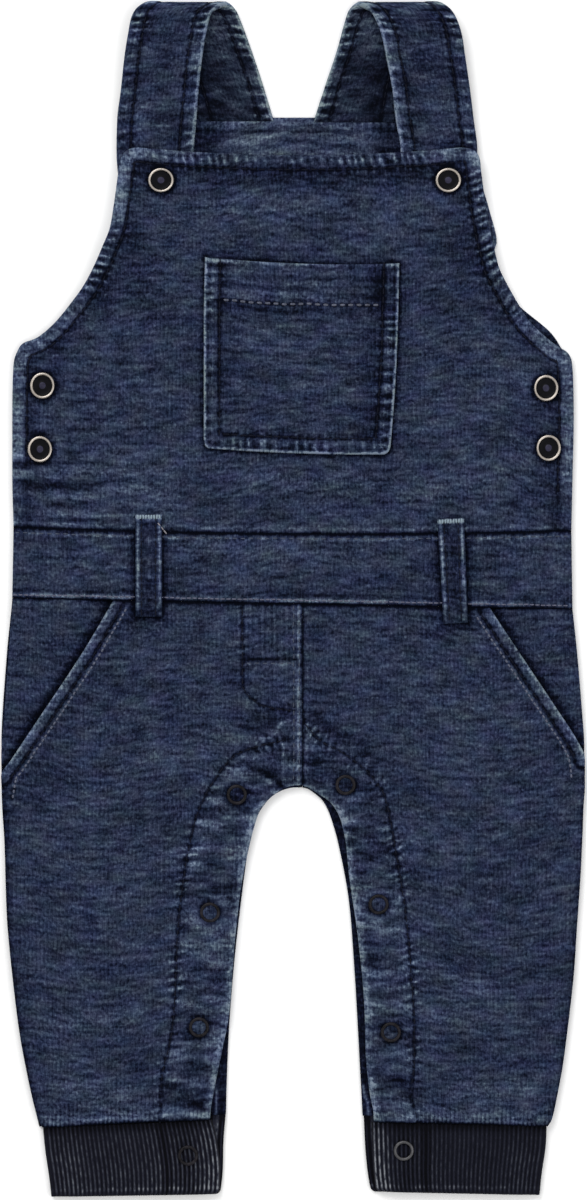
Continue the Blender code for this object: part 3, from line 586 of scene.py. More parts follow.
def dents_at(x, y, places, radius, inside=SNAP_SHADE):
    """Around each snap the cloth is drawn in, with a painted shadow round its rim, and within a
    ring a little painted shade.
    """
    height = zeros(x)
    tone = zeros(x)
    for place_x, place_y in places:
        distance = np.hypot(x - place_x, y - place_y)
        turn = np.arctan2(y - place_y, x - place_x)
        height += 0.12 * np.cos(7.0 * turn + place_x) * bell(distance - radius - 1.5, 2.0)
        rim = SNAP_SHADE * bell(np.maximum(distance - radius, 0.0), 1.1)
        within_rim = mix(inside, SNAP_SHADE, smooth(distance - radius + 1.4))
        tone -= np.where(distance < radius, within_rim, rim)
    return height, tone


def lines_at(x, y, lines):
    """The height and tone of sharp little folds and lines of wear; a sunk fold's tone is painted
    shade.
    """
    height = zeros(x)
    tone = zeros(x)
    for number, line in enumerate(lines):
        distance, along, _ = nearest(x, y, [curve(line.points, 4)])
        here = bell(distance, line.width)
        height += line.height * here
        tone += line.tone * here * (0.92 + 0.2 * noise(along / 4.0, 2.0, number))
    return height, tone


def flat_at(x, y):
    """How flat the bib's hem lies at each point, 0 where it is puckered."""
    flat = zeros(x)
    for place in FLAT_HEMS:
        near = bell(x - place.x, place.reach_x) * bell(y - place.y, place.reach_y)
        flat = np.maximum(flat, place.amount * near)
    return flat


def hem_gone(x, y):
    """1 low on the bib's sides, where the hem is pressed out of sight."""
    level = np.where(x < 0.0, 62.0, 47.0)
    return smooth((level - y) / 9.0) * smooth((np.abs(x) - 92.0) / 6.0)


# ---------------------------------------------------------------- materials


class Value:
    """What a shader node gives. It adds, subtracts and multiplies as a number does."""

    def __init__(self, paint, socket):
        self.paint, self.socket = paint, socket

    def __add__(self, other):
        return self.paint.maths("ADD", self, other)

    def __radd__(self, other):
        return self.paint.maths("ADD", other, self)

    def __sub__(self, other):
        return self.paint.maths("SUBTRACT", self, other)

    def __rsub__(self, other):
        return self.paint.maths("SUBTRACT", other, self)

    def __mul__(self, other):
        return self.paint.maths("MULTIPLY", self, other)


class Paint:
    """A material, its nodes added one by one."""

    def __init__(self, name):
        self.material = bpy.data.materials.new(name)
        self.material.use_nodes = True
        self.tree = self.material.node_tree

    def plug(self, socket, value):
        if isinstance(value, Value):
            self.tree.links.new(value.socket, socket)
        else:
            socket.default_value = value

    def finish(self, **values):
        shader = self.tree.nodes["Principled BSDF"]
        for name, value in values.items():
            self.plug(shader.inputs[name.replace("_", " ")], value)
        return self.material

    def node(self, kind, *values, output=0, settings=(), **named):
        """A new node's output. Its inputs are given in their order or by name."""
        node = self.tree.nodes.new("ShaderNode" + kind)
        for name, setting in dict(settings).items():
            setattr(node, name, setting)
        for key, value in [*enumerate(values), *named.items()]:
            self.plug(node.inputs[key], value)
        return Value(self, node.outputs[output])

    def maths(self, operation, *values):
        return self.node("Math", *values, settings={"operation": operation})

    def vector_maths(self, operation, *values, **named):
        return self.node("VectorMath", *values, settings={"operation": operation}, **named)

    def attribute(self, name, output="Fac"):
        return self.node("Attribute", output=output, settings={"attribute_name": name})

    def split(self, vector):
        node = self.node("SeparateXYZ", vector).socket.node
        return [Value(self, socket) for socket in node.outputs]

    def noise(self, place, scale, shift=(0.0, 0.0, 0.0), detail=1.0, roughness=0.5):
        """Noise about zero."""
        moved = self.node("Mapping", Vector=place, Scale=scale, Location=shift)
        made = self.node("TexNoise", output="Fac", Vector=moved, Scale=1.0, Detail=detail,
                         Roughness=roughness)
        return made - 0.5

    def range(self, *values):
        """A value taken smoothly from one range to another."""
        return self.node("MapRange", *values, settings={"interpolation_type": "SMOOTHSTEP"})

    def ramp(self, value, stops):
        made = self.node("ValToRGB", value)
        elements = made.socket.node.color_ramp.elements
        while len(elements) < len(stops):
            elements.new(0.5)
        for element, (place, colour) in zip(elements, stops):
            element.position = place
            element.color = (*colour, 1.0)
        return made

    def bump(self, height, strength, distance):
        return self.node("Bump", Height=height, Strength=strength, Distance=distance)


# Indigo from unfaded to worn through, by how light it is
INDIGO = [
    (0, (0.0016, 0.0021, 0.0052)), (0.12, (0.0041, 0.0056, 0.0142)), (0.2, (0.0085, 0.0118, 0.028)),
    (0.275, (0.0154, 0.0212, 0.0437)), (0.35, (0.0251, 0.0339, 0.0644)),
    (0.44, (0.0409, 0.054, 0.0934)), (0.6, (0.0815, 0.1105, 0.159)), (0.8, (0.17, 0.217, 0.278)),
    (1, (0.3, 0.345, 0.39)),
]
INDIGO_MIDDLE = 0.315
RIB_INDIGO = [
    (0, (0.0016, 0.0017, 0.0034)), (0.12, (0.0053, 0.0058, 0.0113)),
    (0.25, (0.0133, 0.0145, 0.024)), (0.45, (0.0443, 0.049, 0.065)), (0.8, (0.195, 0.208, 0.23)),
]
WALE = 1.64  # from one column of the knit's loops to the next
GATHER_PITCH = 1.75  # from one small gather above a cuff to the next


def knit(paint, cloth):
    """The cloth's own pattern about zero: stitch cells, slubs across it, and cloudy wash."""
    cells = paint.noise(cloth, (0.88, 0.74, 1.0), detail=1.6, roughness=0.62)
    slubs = paint.noise(cloth, (0.15, 0.54, 1.0), (7.0, 3.0, 0.0), 1.5)
    long_slubs = paint.noise(cloth, (0.045, 0.36, 1.0), (31.0, 11.0, 0.0))
    clouds = paint.noise(cloth, (0.04, 0.06, 1.0), (5.0, 17.0, 0.0), 2.0, 0.55)
    flecks = paint.noise(cloth, (0.8, 0.9, 1.0), (13.0, 41.0, 0.0), 0.0)
    flecks = paint.range(flecks, 0.10, 0.32, 0.0, 1.0)
    uneven = paint.noise(cloth, (0.08, 0.12, 1.0))
    turn = paint.split(cloth)[0] * (2.0 * math.pi / WALE) + uneven * 9.0
    wales, fine_wales = paint.maths("SINE", turn), paint.maths("SINE", turn * 2.0)
    fine = cells * 0.60 + slubs * 0.52 + wales * 0.024 + fine_wales * 0.022 + flecks * 0.12
    return fine, long_slubs * 0.20 + clouds * 0.24


def puckers(paint, ragged):
    """The puckers across the hems: light on their crests, dark between."""
    turns = paint.split(paint.attribute("turns", "Vector"))
    crests = paint.split(paint.attribute("crests", "Vector"))
    lit = 0.0
    for turn, crest in zip(turns, crests):
        wave = paint.maths("COSINE", (turn + ragged * 0.5) * (2.0 * math.pi))
        up = paint.maths("POWER", paint.maths("MAXIMUM", wave, 0.0), 1.7)
        down = paint.maths("MINIMUM", wave, 0.0)
        lit = (up * 1.35 + down * 0.75) * crest + lit
    return lit


def make_denim(name, middle, slub, warmth=0.0, grey=0.0):
    """Washed indigo: lighter where `tone` is high, dark along the drawn stitches."""
    paint = Paint(name)
    cloth = paint.attribute("cloth", "Vector")
    fine, broad = knit(paint, cloth)
    ragged = paint.noise(cloth, (0.55, 0.55, 1.0), (2.0, 9.0, 0.0))
    crests = puckers(paint, ragged)
    marks = paint.attribute("tone") + crests
    dark = 0.0
    for distance in paint.split(paint.attribute("stitches", "Vector")):
        away = paint.maths("ABSOLUTE", distance + ragged * 0.9)
        dark = paint.range(away, 0.3, 1.3, 1.0, 0.0) + dark
    dark = dark * (ragged * 0.5 + 0.17) * (1.0 - paint.attribute("unstitched"))
    turn = paint.split(cloth)[0] * (2.0 * math.pi / GATHER_PITCH) + ragged * 5.0
    gathers = paint.maths("SINE", turn) * paint.attribute("gathers") * 0.13
    rubbed = paint.maths("MAXIMUM", marks, 0.0) * fine * 3.0
    value = middle + fine * slub + broad + marks + rubbed + gathers
    value = paint.maths("MINIMUM", value - dark, 0.86)
    hue = paint.noise(cloth, (0.13, 0.17, 1.0), (3.0, 23.0, 0.0))
    hue = hue * paint.range(value, 0.35, 0.62, 1.0, 0.2)
    cast = paint.ramp(hue + (0.5 + warmth), [
        (0.25, (0.745, 0.884, 0.900)), (0.75, (0.958, 0.857, 0.920)),
    ])
    blueness = paint.noise(cloth, (0.09, 0.13, 1.0), (47.0, 5.0, 0.0))
    blue = paint.ramp(blueness + (0.5 - grey), [
        (0.25, (1.00, 1.02, 0.85)), (0.75, (1.00, 0.98, 1.15)),
    ])
    colour = paint.vector_maths("MULTIPLY", paint.ramp(value, INDIGO), cast)
    return paint.finish(
        Base_Color=paint.vector_maths("MULTIPLY", colour, blue),
        Roughness=0.88 + fine * 0.25,
        Normal=paint.bump(fine + gathers * 1.5 + crests * 2.0, 0.6, 0.3 * MM),
        Specular_IOR_Level=0.02,
        Sheen_Weight=0.04,
        Sheen_Roughness=0.4,
        Sheen_Tint=(0.25, 0.45, 0.9, 1.0),
    )


def make_rib():
    """Rib knit, its crests a little lighter and rubbed."""
    paint = Paint("rib_knit")
    cloth = paint.attribute("cloth", "Vector")
    rubbed = paint.noise(cloth, (0.8, 0.36, 1.0), detail=2.0, roughness=0.6)
    loops = paint.noise(cloth, (1.6, 1.3, 1.0), (4.0, 2.0, 0.0))
    broad = paint.noise(cloth, (0.06, 0.08, 1.0))
    lit = paint.attribute("tone") * (0.95 + rubbed * 3.2)
    colour = paint.ramp(0.115 + lit + loops * 0.16 + broad * 0.10, RIB_INDIGO)
    return paint.finish(
        Base_Color=colour,
        Roughness=0.85 + loops * 0.2,
        Normal=paint.bump(loops + rubbed, 0.5, 0.25 * MM),
        Specular_IOR_Level=0.05,
        Sheen_Weight=0.03,
        Sheen_Roughness=0.5,
    )


def make_thread(name, colour, spread):
    """Twisted thread."""
    paint = Paint(name)
    place = paint.attribute("cloth", "Vector")
    grain = paint.noise(place, (1.5, 1.5, 1.5), detail=2.0, roughness=0.6)
    return paint.finish(
        Base_Color=paint.vector_maths("SCALE", Vector=colour, Scale=1.0 + grain * spread),
        Roughness=0.75 + grain * 0.3,
        Normal=paint.bump(grain, 0.6, 0.1 * MM),
        Specular_IOR_Level=0.08,
        Sheen_Weight=0.04,
    )


def make_metal(name, colour, metallic, rough, wear, shine=0.5):
    """Metal or enamel, faintly scratched and dulled."""
    paint = Paint(name)
    place = paint.node("TexCoord", output="Object")
    grain = paint.noise(place, (900.0, 900.0, 900.0), detail=3.0, roughness=0.6)
    broad = paint.noise(place, (260.0, 260.0, 260.0), detail=2.0)
    light = 1.0 + broad * wear + grain * wear
    return paint.finish(
        Base_Color=paint.vector_maths("SCALE", Vector=colour, Scale=light),
        Metallic=metallic,
        Roughness=rough + grain * 0.25 + broad * 0.15,
        Normal=paint.bump(grain, 0.25, 0.05 * MM),
        Specular_IOR_Level=shine,
    )


DENIM = make_denim("washed_denim", INDIGO_MIDDLE, 1.0)
DENIM_INSIDE = make_denim("denim_wrong_side", INDIGO_MIDDLE - 0.02, 0.9, 0.03)
# The strap's inside: denim darkened with painted shade, where it lies within the strap's arch
SHADED_STRAP_DENIM = make_denim("strap_lining", INDIGO_MIDDLE - 0.15, 0.65, 0.06, 0.3)
RIB = make_rib()
THREADS = {
    "navy": make_thread("navy_thread", (0.0035, 0.0046, 0.0120), 1.2),
    "faded": make_thread("faded_thread", (0.050, 0.061, 0.093), 1.8),
    "chain": make_thread("chain_thread", (0.100, 0.105, 0.153), 1.8),
    "pale": make_thread("pale_thread", (0.082, 0.090, 0.124), 2.4),
    "slant": make_thread("slant_thread", (0.092, 0.102, 0.145), 2.0),
    "tack": make_thread("tack_thread", (0.215, 0.280, 0.330), 0.6),
    "end": make_thread("loose_thread", (0.240, 0.230, 0.255), 0.8),
}
SILVER = make_metal("satin_silver", (0.46, 0.415, 0.37), 1.0, 0.36, 0.25)
ENAMEL = make_metal("black_enamel", (0.0031, 0.0031, 0.0044), 0.0, 0.42, 0.8, 0.06)
SOCKET = make_metal("snap_centre", (0.021, 0.020, 0.042), 0.0, 0.50, 1.4, 0.16)
BRONZE = make_metal("dark_bronze", (0.0084, 0.0074, 0.0098), 0.0, 0.42, 3.2, 0.12)
NICKEL = make_metal("dull_nickel", (0.085, 0.085, 0.090), 0.9, 0.42, 1.0)

# ---------------------------------------------------------------- meshes


def stations(length, spacing):
    """Distances along a length: close together near both ends, even between."""
    near = np.array([step for step in NEAR_EDGE if step < length / 2.0 - 0.5])
    middle = length - 2.0 * near[-1]
    count = max(1, math.ceil(middle / spacing))
    even = np.linspace(near[-1], length - near[-1], count + 1)[1:-1]
    return np.concatenate([near, even, length - near[::-1]])


def panel_grid(rows, spacing):
    """Points over a panel, in rows: x, y and the share of the way across."""
    table = np.array(rows)
    widest = (table[:, 2] - table[:, 0]).max()
    offsets = stations(widest, spacing)
    fine = between(rows, np.linspace(0.0, 1.0, PANEL_SAMPLES))
    left = np.hypot(np.diff(fine[:, 0]), np.diff(fine[:, 1]))
    right = np.hypot(np.diff(fine[:, 2]), np.diff(fine[:, 3]))
    passed = np.concatenate([[0.0], np.cumsum((left + right) / 2.0)])
    places = stations(passed[-1], spacing)
    along = np.interp(places, passed, np.linspace(0.0, 1.0, PANEL_SAMPLES))
    row = between(rows, along)[:, None, :]
    width = row[..., 2] - row[..., 0]
    margin = min(NEAR_EDGE[-1], widest / 2.0 - 0.5)
    closer = np.minimum(width / (2.6 * margin), 1.0)
    inner = mix(margin * closer, width - margin * closer,
                (offsets - margin) / (widest - 2.0 * margin))
    placed = np.where(offsets < margin, offsets * closer, inner)
    placed = np.where(offsets > widest - margin, width - (widest - offsets) * closer, placed)
    share = placed / width
    x = mix(row[..., 0], row[..., 2], share)
    y = mix(row[..., 1], row[..., 3], share) + row[..., 4] * 4.0 * share * (1.0 - share)
    return x, y, share


def grid_faces(rows, columns):
    """A closed shell's faces: its top's grid, its bottom's, and the rim between."""
    index = np.arange(rows * columns).reshape(rows, columns)
    under = index + rows * columns
    a, b, c, d = index[:-1, :-1], index[:-1, 1:], index[1:, 1:], index[1:, :-1]
    top = np.stack([a, b, c, d], axis=-1).reshape(-1, 4)
    bottom = (top + rows * columns)[:, ::-1]
    border = np.concatenate(
        [index[0, :], index[1:, -1], index[-1, -2::-1], index[-2:0:-1, 0]]
    )
    after = np.roll(border, -1)
    rim = np.stack([after, border, border + under[0, 0], after + under[0, 0]], axis=-1)
    return top, bottom, rim


def volume_of(points, faces):
    a, b, c, d = (points[faces[:, corner]] for corner in range(4))
    first = np.einsum("ij,ij->i", a, np.cross(b, c)).sum()
    return first + np.einsum("ij,ij->i", a, np.cross(c, d)).sum()


def add_object(name, data):
    made = bpy.data.objects.new(name, data)
    bpy.context.scene.collection.objects.link(made)
    return made


def add_mesh(name, points, faces, materials, indices=None, **values):
    """A mesh with smooth faces, a material for each face, and values for each point. All of
    them ride the one body."""
    mesh = bpy.data.meshes.new(name)
    faces = faces.tolist() if isinstance(faces, np.ndarray) else faces
    mesh.from_pydata((np.asarray(points) * MM).tolist(), [], faces)
    for material in materials:
        mesh.materials.append(material)
    if indices is not None:
        mesh.polygons.foreach_set("material_index", np.asarray(indices, np.int32))
    mesh.polygons.foreach_set("use_smooth", np.ones(len(mesh.polygons), bool))
    for value_name, value in values.items():
        value = np.asarray(value, np.float32)
        kind, field = ("FLOAT", "value") if value.ndim == 1 else ("FLOAT_VECTOR", "vector")
        mesh.attributes.new(value_name, kind, "POINT").data.foreach_set(field, value.ravel())
    mesh.update()
    made = add_object(name, mesh)
    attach(made, "root")
    return made


def add_shell(name, top, bottom, materials, **values):
    """A closed shell between two grids of points. A value for its points is one grid, or a
    pair for its top and bottom. The first material is its top's and rim's."""
    rows, columns = top.shape[:2]
    top_faces, bottom_faces, rim = grid_faces(rows, columns)
    faces = np.concatenate([top_faces, bottom_faces, rim])
    points = np.concatenate([top.reshape(-1, 3), bottom.reshape(-1, 3)])
    if volume_of(points, faces) < 0.0:
        faces = faces[:, ::-1]
    indices = np.zeros(len(faces), np.int32)
    indices[len(top_faces) : 2 * len(top_faces)] = 1
    for value_name, value in values.items():
        both = value if isinstance(value, tuple) else (value, value)
        joined = np.concatenate([part.reshape(rows * columns, -1) for part in both])
        values[value_name] = joined[:, 0] if joined.shape[1] == 1 else joined
    return add_mesh(name, points, faces, materials, indices, **values)


def rim_round(distance, radius):
    """How much of its thickness the cloth has, near its rounded rim."""
    share = np.clip(distance / radius, 0.0, 1.0)
    return np.maximum(np.sqrt(1.0 - (1.0 - share) ** 2), RIM_LEAST)


def outline_of(rows):
    left, right = curve(left_edge(rows), 4), curve(right_edge(rows), 4)
    return [left, right, across_row(rows[0]), across_row(rows[-1])]


def area_of(x, y):
    """The area that a grid of points covers."""
    a = np.stack([x[1:, 1:] - x[:-1, :-1], y[1:, 1:] - y[:-1, :-1]])
    b = np.stack([x[1:, :-1] - x[:-1, 1:], y[1:, :-1] - y[:-1, 1:]])
    return float(np.abs(a[0] * b[1] - a[1] * b[0]).sum() / 2.0)


# ---------------------------------------------------------------- stitches

Stitch = namedtuple("Stitch", "length pitch radius")
STITCHES = {
    "navy": Stitch(2.7, 3.5, 0.20),
    "faded": Stitch(1.9, 3.3, 0.22),
    "chain": Stitch(1.9, 2.3, 0.26),
    "pale": Stitch(2.1, 3.4, 0.42),
    "slant": Stitch(1.4, 2.1, 0.36),
    "tack": Stitch(1.7, 1.0, 0.38),
    "end": Stitch(1.9, 1.9, 0.26),
}
STITCH_RINGS = [(-1, 0.25), (-0.78, 0.8), (0, 1), (0.78, 0.8), (1, 0.25)]
STITCH_SIDES = 6


def stitch_places(run):
    """The middle and direction of each stitch of a run, in the piece's own coordinates."""
    places = []
    pitch = STITCHES[run.thread].pitch
    for line in run.lines:
        line = np.asarray(line, float)
        steps = np.hypot(*np.diff(line, axis=0).T)
        passed = np.concatenate([[0.0], np.cumsum(steps)])
        middles = np.arange(pitch / 2.0, passed[-1] - 1.0, pitch)
        point = np.stack([np.interp(middles, passed, line[:, axis]) for axis in (0, 1)], axis=1)
        way = np.stack([np.interp(middles + 1.0, passed, line[:, axis]) for axis in (0, 1)],
                       axis=1) - point
        way /= np.maximum(np.hypot(way[:, 0], way[:, 1])[:, None], 1e-9)
        normal = np.stack([-way[:, 1], way[:, 0]], axis=1)
        for sign in (1.0, -1.0) if run.offset else (1.0,):
            wander = 0.16 * noise(middles / 4.1, sign, 57)[:, None]
            moved = point + normal * (run.offset * sign + wander)
            keep = distance_to(moved[:, 0], moved[:, 1], run.lines) > run.offset - 0.45
            places.append(np.concatenate([moved, way], axis=1)[keep])
    return np.concatenate(places)


def add_stitches(name, places, on_cloth, inside, colour):
    """Small capsules of thread along a run. on_cloth gives a point and the cloth's normal."""
    length, _, radius = STITCHES[colour]
    places = places[inside(places[:, 0], places[:, 1])]
    middle, up = on_cloth(places[:, 0], places[:, 1])
    ahead, _ = on_cloth(places[:, 0] + places[:, 2] * 0.5, places[:, 1] + places[:, 3] * 0.5)
    along = ahead - middle
    along /= np.linalg.norm(along, axis=1)[:, None]
    aside = np.cross(up, along)
    rings = []
    for place, wide in STITCH_RINGS:
        for side in range(STITCH_SIDES):
            turn = 2.0 * math.pi * side / STITCH_SIDES
            rings.append((place * length / 2.0, wide * math.cos(turn), wide * math.sin(turn)))
    rings = np.array(rings)
    points = (
        middle[:, None, :]
        + along[:, None, :] * rings[None, :, :1]
        + aside[:, None, :] * rings[None, :, 1:2] * radius * 1.2
        + up[:, None, :] * (rings[None, :, 2:] + 0.5) * radius
    )
    sides = np.arange(STITCH_SIDES)
    after = np.roll(sides, -1)
    faces = []
    for ring in range(len(STITCH_RINGS) - 1):
        start = ring * STITCH_SIDES
        faces.append(np.stack([sides + start, after + start, after + start + STITCH_SIDES,
                               sides + start + STITCH_SIDES], axis=1))
    last = (len(STITCH_RINGS) - 1) * STITCH_SIDES
    faces.append(np.array([[3, 2, 1, 0], [5, 4, 3, 0]]))
    faces.append(np.array([[last, last + 1, last + 2, last + 3],
                           [last, last + 3, last + 4, last + 5]]))
    faces = np.concatenate(faces)
    count = len(rings)
    faces = (faces[None] + np.arange(len(places))[:, None, None] * count).reshape(-1, 4)
    points = points.reshape(-1, 3)
    if volume_of(points, faces) < 0.0:
        faces = faces[:, ::-1]
    return add_mesh(name, points, faces, [THREADS[colour]], cloth=points)


# ---------------------------------------------------------------- pieces of cloth

Made = namedtuple("Made", "shell area size")


def drift(x, y):
    """How far the knit's rows run off level: unevenly, and pulled down by the right inseam."""
    pulled = 4.5 * (1.0 - np.exp(-np.maximum(x - 44.0, 0.0) / 15.0)) * smooth((-90.0 - y) / 50.0)
    return pulled + 3.0 * noise(x / 40.0, y / 60.0, 51)


def sew_piece(name, rows, underside, runs, *, thickness=CLOTH, spacing=SPACING, extra=None,
              materials=(DENIM, DENIM_INSIDE), shift=(0.0, 0.0), back=False, threads=True,
              seams=(), inside_tone=None, flat=None, gone=None):
    """A flat-cut piece and its stitches. extra(x, y, share) gives more height and tone. The
    lines in seams, each with a radius, are edges that another piece is sewn to. flat(x, y)
    says where its puckers are missing and gone(x, y) where its hem is."""
    x, y, share = panel_grid(rows, spacing)
    height, tone, stitches, turns, crests = marks_of(runs, x, y)
    unstitched = np.zeros(x.shape)
    if flat:
        unstitched = gone(x, y)
        height = height * (1.0 - 0.8 * unstitched)
        crests = crests * ((1.0 - flat(x, y)) * (1.0 - unstitched))[..., None]
        stitches = stitches / (1.0 - 0.35 * flat(x, y))[..., None]
    gathers = np.zeros(x.shape)
    if extra:
        more, lighter, gathers = extra(x, y, share)
        height, tone = height + more, tone + lighter
    edge = distance_to(x, y, outline_of(rows))
    radius = np.full(x.shape, thickness / 2.0)
    for line, seam_radius in seams:
        beside = distance_to(x, y, [line])
        radius = np.where(beside < edge + 0.2, seam_radius, radius)
    rim = rim_round(edge, radius)
    middle = underside(x, y, share) + thickness / 2.0
    top = middle + thickness / 2.0 * rim + height * rim
    bottom = middle - thickness / 2.0 * rim
    if back:
        top = middle + thickness / 2.0 * rim + np.clip(height, -0.5, 0.2)
        bottom = np.maximum(bottom, 0.0) + np.clip(-height, 0.0, 0.6)
        shown = tone * 0.5 if inside_tone is None else tone * 0.5 + inside_tone(x, y)
        tone = (shown, tone)
        crests = (crests * 0.15, crests)
        stitches = (np.clip(stitches * 1.4 + 0.4, -FAR, FAR), stitches)
        unstitched = (np.full(x.shape, 0.6), unstitched)
    else:
        bottom = bottom + np.maximum(height, -0.1) * rim
    shell = add_shell(
        name, np.stack([x, y, top], axis=-1), np.stack([x, y, bottom], axis=-1), materials,
        cloth=np.stack([x + shift[0], y + shift[1] + drift(x, y), 0.0 * x], axis=-1), tone=tone,
        stitches=stitches, turns=turns, crests=crests, gathers=gathers, unstitched=unstitched,
    )
    sewing = []
    if threads:
        def on_cloth(sx, sy):
            raised = marks_of(runs, sx, sy).height
            if extra:
                raised = raised + extra(sx, sy, np.full(np.shape(sx), 0.5))[0]
            if back:
                z = np.clip(-raised, 0.0, 0.6) + 0.2
            else:
                z = underside(sx, sy, np.full(np.shape(sx), 0.5)) + thickness + raised
            up = np.zeros(np.shape(sx) + (3,))
            up[..., 2] = -1.0 if back else 1.0
            return np.stack([sx, sy, z], axis=-1), up

        outline = np.concatenate([
            np.array(across_row(rows[0])), curve(right_edge(rows), 4),
            np.array(across_row(rows[-1]))[::-1], curve(left_edge(rows), 4)[::-1],
        ])

        def inside(sx, sy):
            kept = within(sx, sy, outline) & (distance_to(sx, sy, outline_of(rows)) > 0.6)
            return kept & (gone(sx, sy) < 0.5) if gone else kept

        for colour in THREADS:
            places = [stitch_places(run) for run in runs if run.thread == colour]
            if places:
                sewing.append(add_stitches(f"{name}_{colour}_stitches", np.concatenate(places),
                                           on_cloth, inside, colour))
    width, length = np.ptp(x) * MM, np.ptp(y) * MM
    return Made(shell, area_of(x, y) * MM * MM, (width, length)), sewing


def within(x, y, outline):
    """Whether each point lies inside a closed outline."""
    inside = np.zeros(np.shape(x), bool)
    for (ax, ay), (bx, by) in zip(outline, np.roll(outline, -1, axis=0)):
        if ay == by:
            continue
        crosses = (ay > y) != (by > y)
        inside ^= crosses & (x < ax + (y - ay) * (bx - ax) / (by - ay))
    return inside


def declare(made, sewing, node):
    """The piece takes its node's place: the node's own part is hidden."""
    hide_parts(node)
    for piece in sewing:
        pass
    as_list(sewing)


def on_surface(x, y, share):
    return zeros(x)


def on_front(x, y, share):
    return front_underside(x, y)


def ripples(x, y, height):
    """Slight unevenness that every panel has, longer across than along."""
    soft = noise(x / 26.0, y / 11.0, 2) + 0.5 * noise(x / 9.0, y / 5.0, 3)
    return height * soft


def front_extra(places, radius, inside=SNAP_SHADE):
    def extra(x, y, share):
        dent, darker = dents_at(x, y, places, radius, inside)
        crease = folds_at(x, y, CREASES)
        sharp, worn = lines_at(x, y, LINES)
        height = dent + crease + sharp + ripples(x, y, 0.12)
        # painted light and shade: the snaps' shadow in darker, the creases lighter where raised and
        # shaded where sunk, and in worn the sharp folds' shade beside the lines of wear
        tone = darker + patches_at(x, y, PATCHES) + 0.20 * crease + worn
        return height, tone, zeros(x)

    return extra


def run_on(line, length):
    """A line drawn out straight past its end."""
    way = line[-1] - line[-2]
    return np.concatenate([line, [line[-1] + way / np.hypot(*way) * length]])


def line_beside(edge, away):
    """A line `away` to the left of an edge."""
    edge = np.asarray(edge, float)
    way = np.gradient(edge, axis=0)
    way /= np.maximum(np.hypot(way[:, 0], way[:, 1])[:, None], 1e-9)
    return edge + np.stack([-way[:, 1], way[:, 0]], axis=1) * away


def open_edge(rows):
    """Along a panel's left edge, across its last row and back along its right edge."""
    return np.concatenate([curve(left_edge(rows)), across_row(rows[-1])[1:-1],
                           curve(right_edge(rows))[::-1]])


def from_waist(left_x, right_x, rows):
    """A panel's rows, hung from the part of the waist's lower seam between two x."""
    return [stretch(shifted(WAIST_BOTTOM, -JOIN), left_x, right_x)] + rows


def add_bib():
    rows = [shifted(WAIST_TOP, JOIN)] + BIB
    seam, edge = across_row(rows[0]), open_edge(rows)
    pocket = np.concatenate([across_row(BIB_POCKET[0]), curve(right_edge(BIB_POCKET)),
                             across_row(BIB_POCKET[-1])[::-1],
                             curve(left_edge(BIB_POCKET))[::-1]])
    more = front_extra(SNAPS.values(), SNAP_RADIUS)

    def extra(x, y, share):
        height, tone, gathers = more(x, y, share)
        beside_pocket = distance_to(x, y, [pocket])
        above_seam = y - height_of(rows[0], x)
        below_top = height_of(BIB[-1], np.clip(x, BIB[-1].left_x, BIB[-1].right_x)) - y
        hem = smooth((below_top + 2.0) / 2.0) * smooth((HEM - 0.8 - below_top) / 1.2)
        shade = smooth((below_top - HEM + 0.5) / 1.0) * smooth((16.0 - below_top) / 6.0)
        between_sides = smooth((x + 70.0) / 5.0) * smooth((76.0 - x) / 5.0)
        in_the_middle = smooth((x + 46.0) / 8.0) * smooth((60.0 - x) / 8.0)
        from_edge = distance_to(x, y, [edge])
        rubbed = flat_at(x, y) * (1.0 - hem_gone(x, y)) * smooth((HEM + 0.6 - from_edge) / 1.6)
        rubbed = rubbed * (0.9 + 0.5 * noise(x / 2.4, y / 2.4, 27))
        bars = noise(x / 30.0, y / 1.8, 28) - 0.2
        # painted shade below the top hem's stitch, and a painted shadow round the pocket
        tone = (
            tone - 0.03 * hem * in_the_middle - 0.07 * shade * between_sides
            + 0.24 * bars * bell(x + 112.0, 9.0) * bell(y - 58.0, 16.0)
            + 0.22 * (bars + 0.1) * smooth((-52.0 - x) / 20.0) * bell(y - 44.0, 17.0)
            + 0.25 * rubbed - 0.20 * bell(beside_pocket, 1.2) - 0.05 * np.exp(-beside_pocket / 3.0)
            + 0.16 * bell(above_seam - 1.7, 0.8) * (0.7 + 0.5 * noise(x / 4.0, 1.0, 21))
        )
        return height, tone, gathers

    runs = [HEMMED._replace(lines=[edge]), SEAMED._replace(lines=[seam])]
    made, sewing = sew_piece("bib_cloth", rows, on_front, runs, extra=extra, flat=flat_at,
                             gone=hem_gone, seams=[(seam, SEAM_ROUND)])
    declare(made, sewing, "front_bib")


